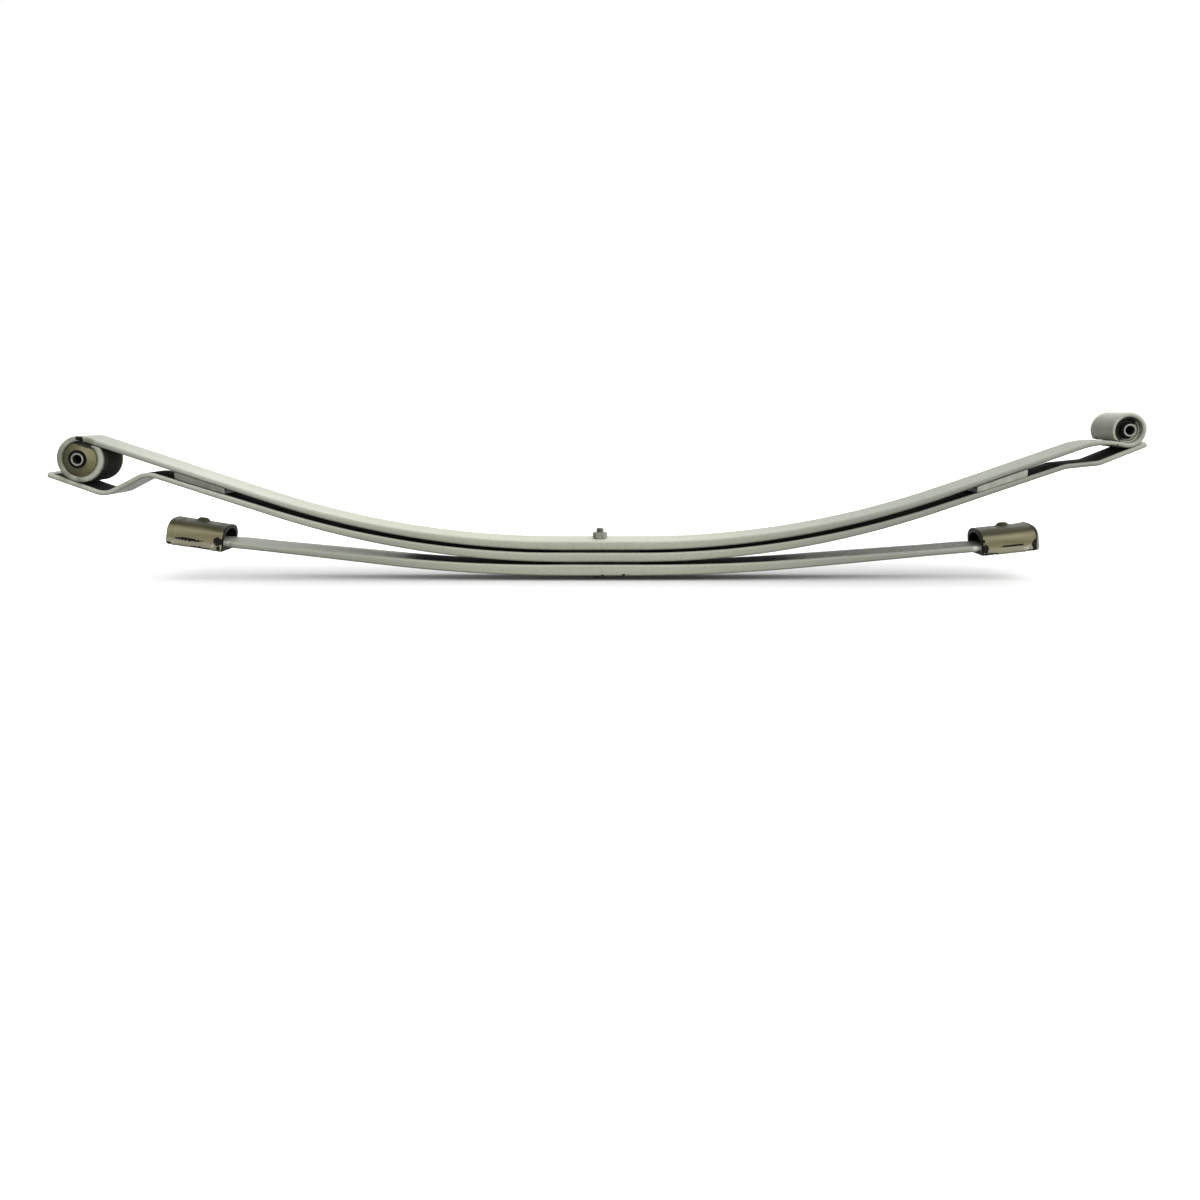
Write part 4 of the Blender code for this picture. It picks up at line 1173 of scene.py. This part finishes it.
def add_film(side, arm, look):
    """The brown film round one buffer, drawn tight and torn open in places."""
    _, on_shoe = shoe_places(side, arm)
    end = BUFFER_LENGTH / 2
    section = shoe_section(0.0)
    count = round(BUFFER_LENGTH / SHOE_STEP)
    shape = bmesh.new()
    height = shape.verts.layers.float.new("height")
    rows = []
    for k in range(count + 1):
        row = []
        for i, (y, h) in enumerate(section):
            edge = (section[(i + 1) % SHOE_POINTS] - section[i - 1]).normalized()
            out = Vector((edge.y, -edge.x))
            if out.dot(Vector((y, h))) < 0:
                out.negate()
            ragged = FILM_RAGGED * noise.noise(Vector((y, h, side.sign)) / FILM_RAGGED / 3)
            start = -end + BUFFER_MOUTH_ROUND / 2 + abs(ragged)
            stop = end - side.film_short - abs(ragged)
            u = start + (stop - start) * k / count
            over = max(0.0, (u - end) / BUFFER_END_ROUND + 1)
            shrink = BUFFER_END_ROUND * (1 - sqrt(max(0.0, 1 - over ** 2)))
            spot = Vector((y, h)) + out * (film_lift(side, u, y, h, stop - u) - shrink)
            nub = nub_lift(u, y, h)
            vert = shape.verts.new(on_shoe(u, spot.x, spot.y + nub))
            # The nub's rise lowers the height that the crown's painted shade reads
            vert[height] = h - NUB_LESS_SHADE * nub
            row.append((vert, torn(side, u, y, h)))
        rows.append(row)
    for near, far in zip(rows, rows[1:]):
        for i, (corner, is_torn) in enumerate(near):
            j = (i + 1) % SHOE_POINTS
            if not is_torn:
                shape.faces.new((corner, near[j][0], far[j][0], far[i][0]))
    loose = [vert for vert in shape.verts if not vert.link_faces]
    bmesh.ops.delete(shape, geom=loose, context="VERTS")
    bmesh.ops.recalc_face_normals(shape, faces=shape.faces)
    bmesh.ops.solidify(shape, geom=shape.faces[:], thickness=FILM_THICK)
    piece = piece_from(f"{side.name}_film", shape, look)
    stand_in(piece, f"{side.name}_buffer", f"{side.name}_helper_end")


def studio():
    """Pale floor, white surroundings, soft light and the camera."""
    scene = bpy.context.scene
    scene.view_settings.view_transform = "Standard"
    scene.world = white_world()

    lens = bpy.data.cameras.new("camera")
    lens.lens = CAMERA_LENS_MM
    lens.sensor_width = CAMERA_SENSOR_MM
    camera = bpy.data.objects.new("camera", lens)
    camera.location = CAMERA_PLACE
    camera.rotation_euler = (pi / 2 - CAMERA_PITCH, 0.0, 0.0)
    scene.collection.objects.link(camera)
    scene.camera = camera

    shape = bmesh.new()
    bmesh.ops.create_grid(shape, x_segments=1, y_segments=1, size=FLOOR_HALF)
    floor = piece_from("floor", shape, floor_white())

    for name, towards, share, across in LAMPS:
        lamp = bpy.data.lights.new(name, "SUN")
        lamp.energy = share * pi
        lamp.angle = across
        hang(lamp, towards)

    lamp = bpy.data.lights.new("front", "AREA")
    lamp.shape = "RECTANGLE"
    lamp.size, lamp.size_y = BOX_SIZE
    lamp.energy = BOX_WATTS
    holder = hang(lamp, BOX_PLACE)
    holder.location = BOX_PLACE
    holder.visible_camera = False


def emptied(owner):
    """The node tree of a world or a material, with nothing in it."""
    owner.use_nodes = True
    owner.node_tree.nodes.clear()
    return Nodes(owner.node_tree)


def white_world():
    """Surroundings that show as white but give little light."""
    world = bpy.data.worlds.new("studio")
    tree = emptied(world)
    light = tree.node("ShaderNodeBackground", {"Color": WHITE, "Strength": WORLD_LIGHT})
    seen = tree.node("ShaderNodeBackground", {"Color": WHITE, "Strength": 1.0})
    inputs = {"Fac": tree.shown(), 1: light.outputs[0], 2: seen.outputs[0]}
    mixed = tree.node("ShaderNodeMixShader", inputs)
    tree.node("ShaderNodeOutputWorld", {0: mixed.outputs[0]})
    return world


def hang(lamp, towards):
    """Puts a lamp into the scene, shining back from the way towards it."""
    holder = bpy.data.objects.new(lamp.name, lamp)
    holder.rotation_mode = "QUATERNION"
    holder.rotation_quaternion = Vector(towards).to_track_quat("Z", "Y")
    bpy.context.scene.collection.objects.link(holder)
    return holder


def floor_white():
    """White floor that keeps the object's shadow near the middle and glows more outwards, a painted light
    that fades the shadow into the white background.
    """
    material = bpy.data.materials.new("floor_white")
    tree = emptied(material)
    shown = tree.shown()
    pale = tree.span(shown, 0.0, 1.0, FLOOR_BOUNCE, FLOOR_COLOUR)
    diffuse = tree.node("ShaderNodeBsdfDiffuse", {"Color": pale})
    place = tree.node("ShaderNodeTexCoord").outputs["Object"]
    inputs = {0: place, 1: FLOOR_SQUEEZE, 2: FLOOR_SHIFT}
    place = tree.node("ShaderNodeVectorMath", inputs, operation="MULTIPLY_ADD").outputs["Vector"]
    distance = tree.node("ShaderNodeVectorMath", {0: place}, operation="LENGTH").outputs["Value"]
    # The glow grows away from the middle: painted light that lightens the object's shadow there
    fade = tree.span(distance, *FLOOR_FADE, *FLOOR_LIFT, interpolation_type="SMOOTHSTEP")
    inputs = {"Color": WHITE, "Strength": tree.math("MULTIPLY", shown, fade)}
    glow = tree.node("ShaderNodeEmission", inputs)
    added = tree.node("ShaderNodeAddShader", {0: diffuse.outputs[0], 1: glow.outputs[0]})
    tree.node("ShaderNodeOutputMaterial", {0: added.outputs[0]})
    return material


def main():
    studio()
    looks = {
        "paint": leaf_paint(), "nut": nut_paint(), "bolt": bolt_zinc(), "sleeve": sleeve_zinc(),
        "shell": shell_steel(), "liner": liner_plastic(), "centre_liner": centre_liner_plastic(),
        "bush_rubber": bush_rubber(), "deep_rubber": deep_rubber(),
        "buffer_rubber": buffer_rubber(), "film": buffer_film(),
    }
    for side in SIDES:
        reach = eye_reach(side)
        main_leaf, eye = main_arm(side, reach)
        second_leaf = second_arm(side, eye)
        helper_leaf = helper_arm(side)
        upper = add_leaf("main_leaf", side, main_leaf, looks["paint"])
        lower = add_leaf("second_leaf", side, second_leaf, looks["paint"])
        helper = add_leaf("helper_leaf", side, helper_leaf, looks["paint"])
        step = reach - side.step_back
        tail = reach + side.tail_past
        # Dark marks, partly unpainted steel and partly painted shade: under the step, on the tail, and on
        # the helper's top and the leaf above it
        leave_bare_and_shaded(upper, -1, (step - STEP_SPRAY, step))
        leave_bare_and_shaded(lower, 1, (tail - TAIL_SHADE[0], tail - TAIL_SHADE[1]))
        leave_bare_and_shaded(lower, -1, side.helper_bare_and_shade)
        leave_bare_and_shaded(helper, 1, side.helper_bare_and_shade, side.helper_shade_beyond)
        if side.rolls_down:
            leave_eye_bare_and_shaded(upper, side, eye)
        add_tip_liner(side, main_leaf, second_leaf, looks["liner"])
        add_bush(side, looks)
        add_buffer(side, helper_leaf, looks["buffer_rubber"])
        add_film(side, helper_leaf, looks["film"])
    add_bolt(looks["bolt"])
    add_nut(looks["nut"])
    plain = {
        "upper_centre_liner": "centre_liner", "lower_centre_liner": "centre_liner",
        "left_tip_rivet": "bolt", "right_tip_rivet": "bolt",
    }
    for node, look in plain.items():
        mesh = frame["nodes"][node].data
        mesh.materials.clear()
        mesh.materials.append(looks[look])


main()
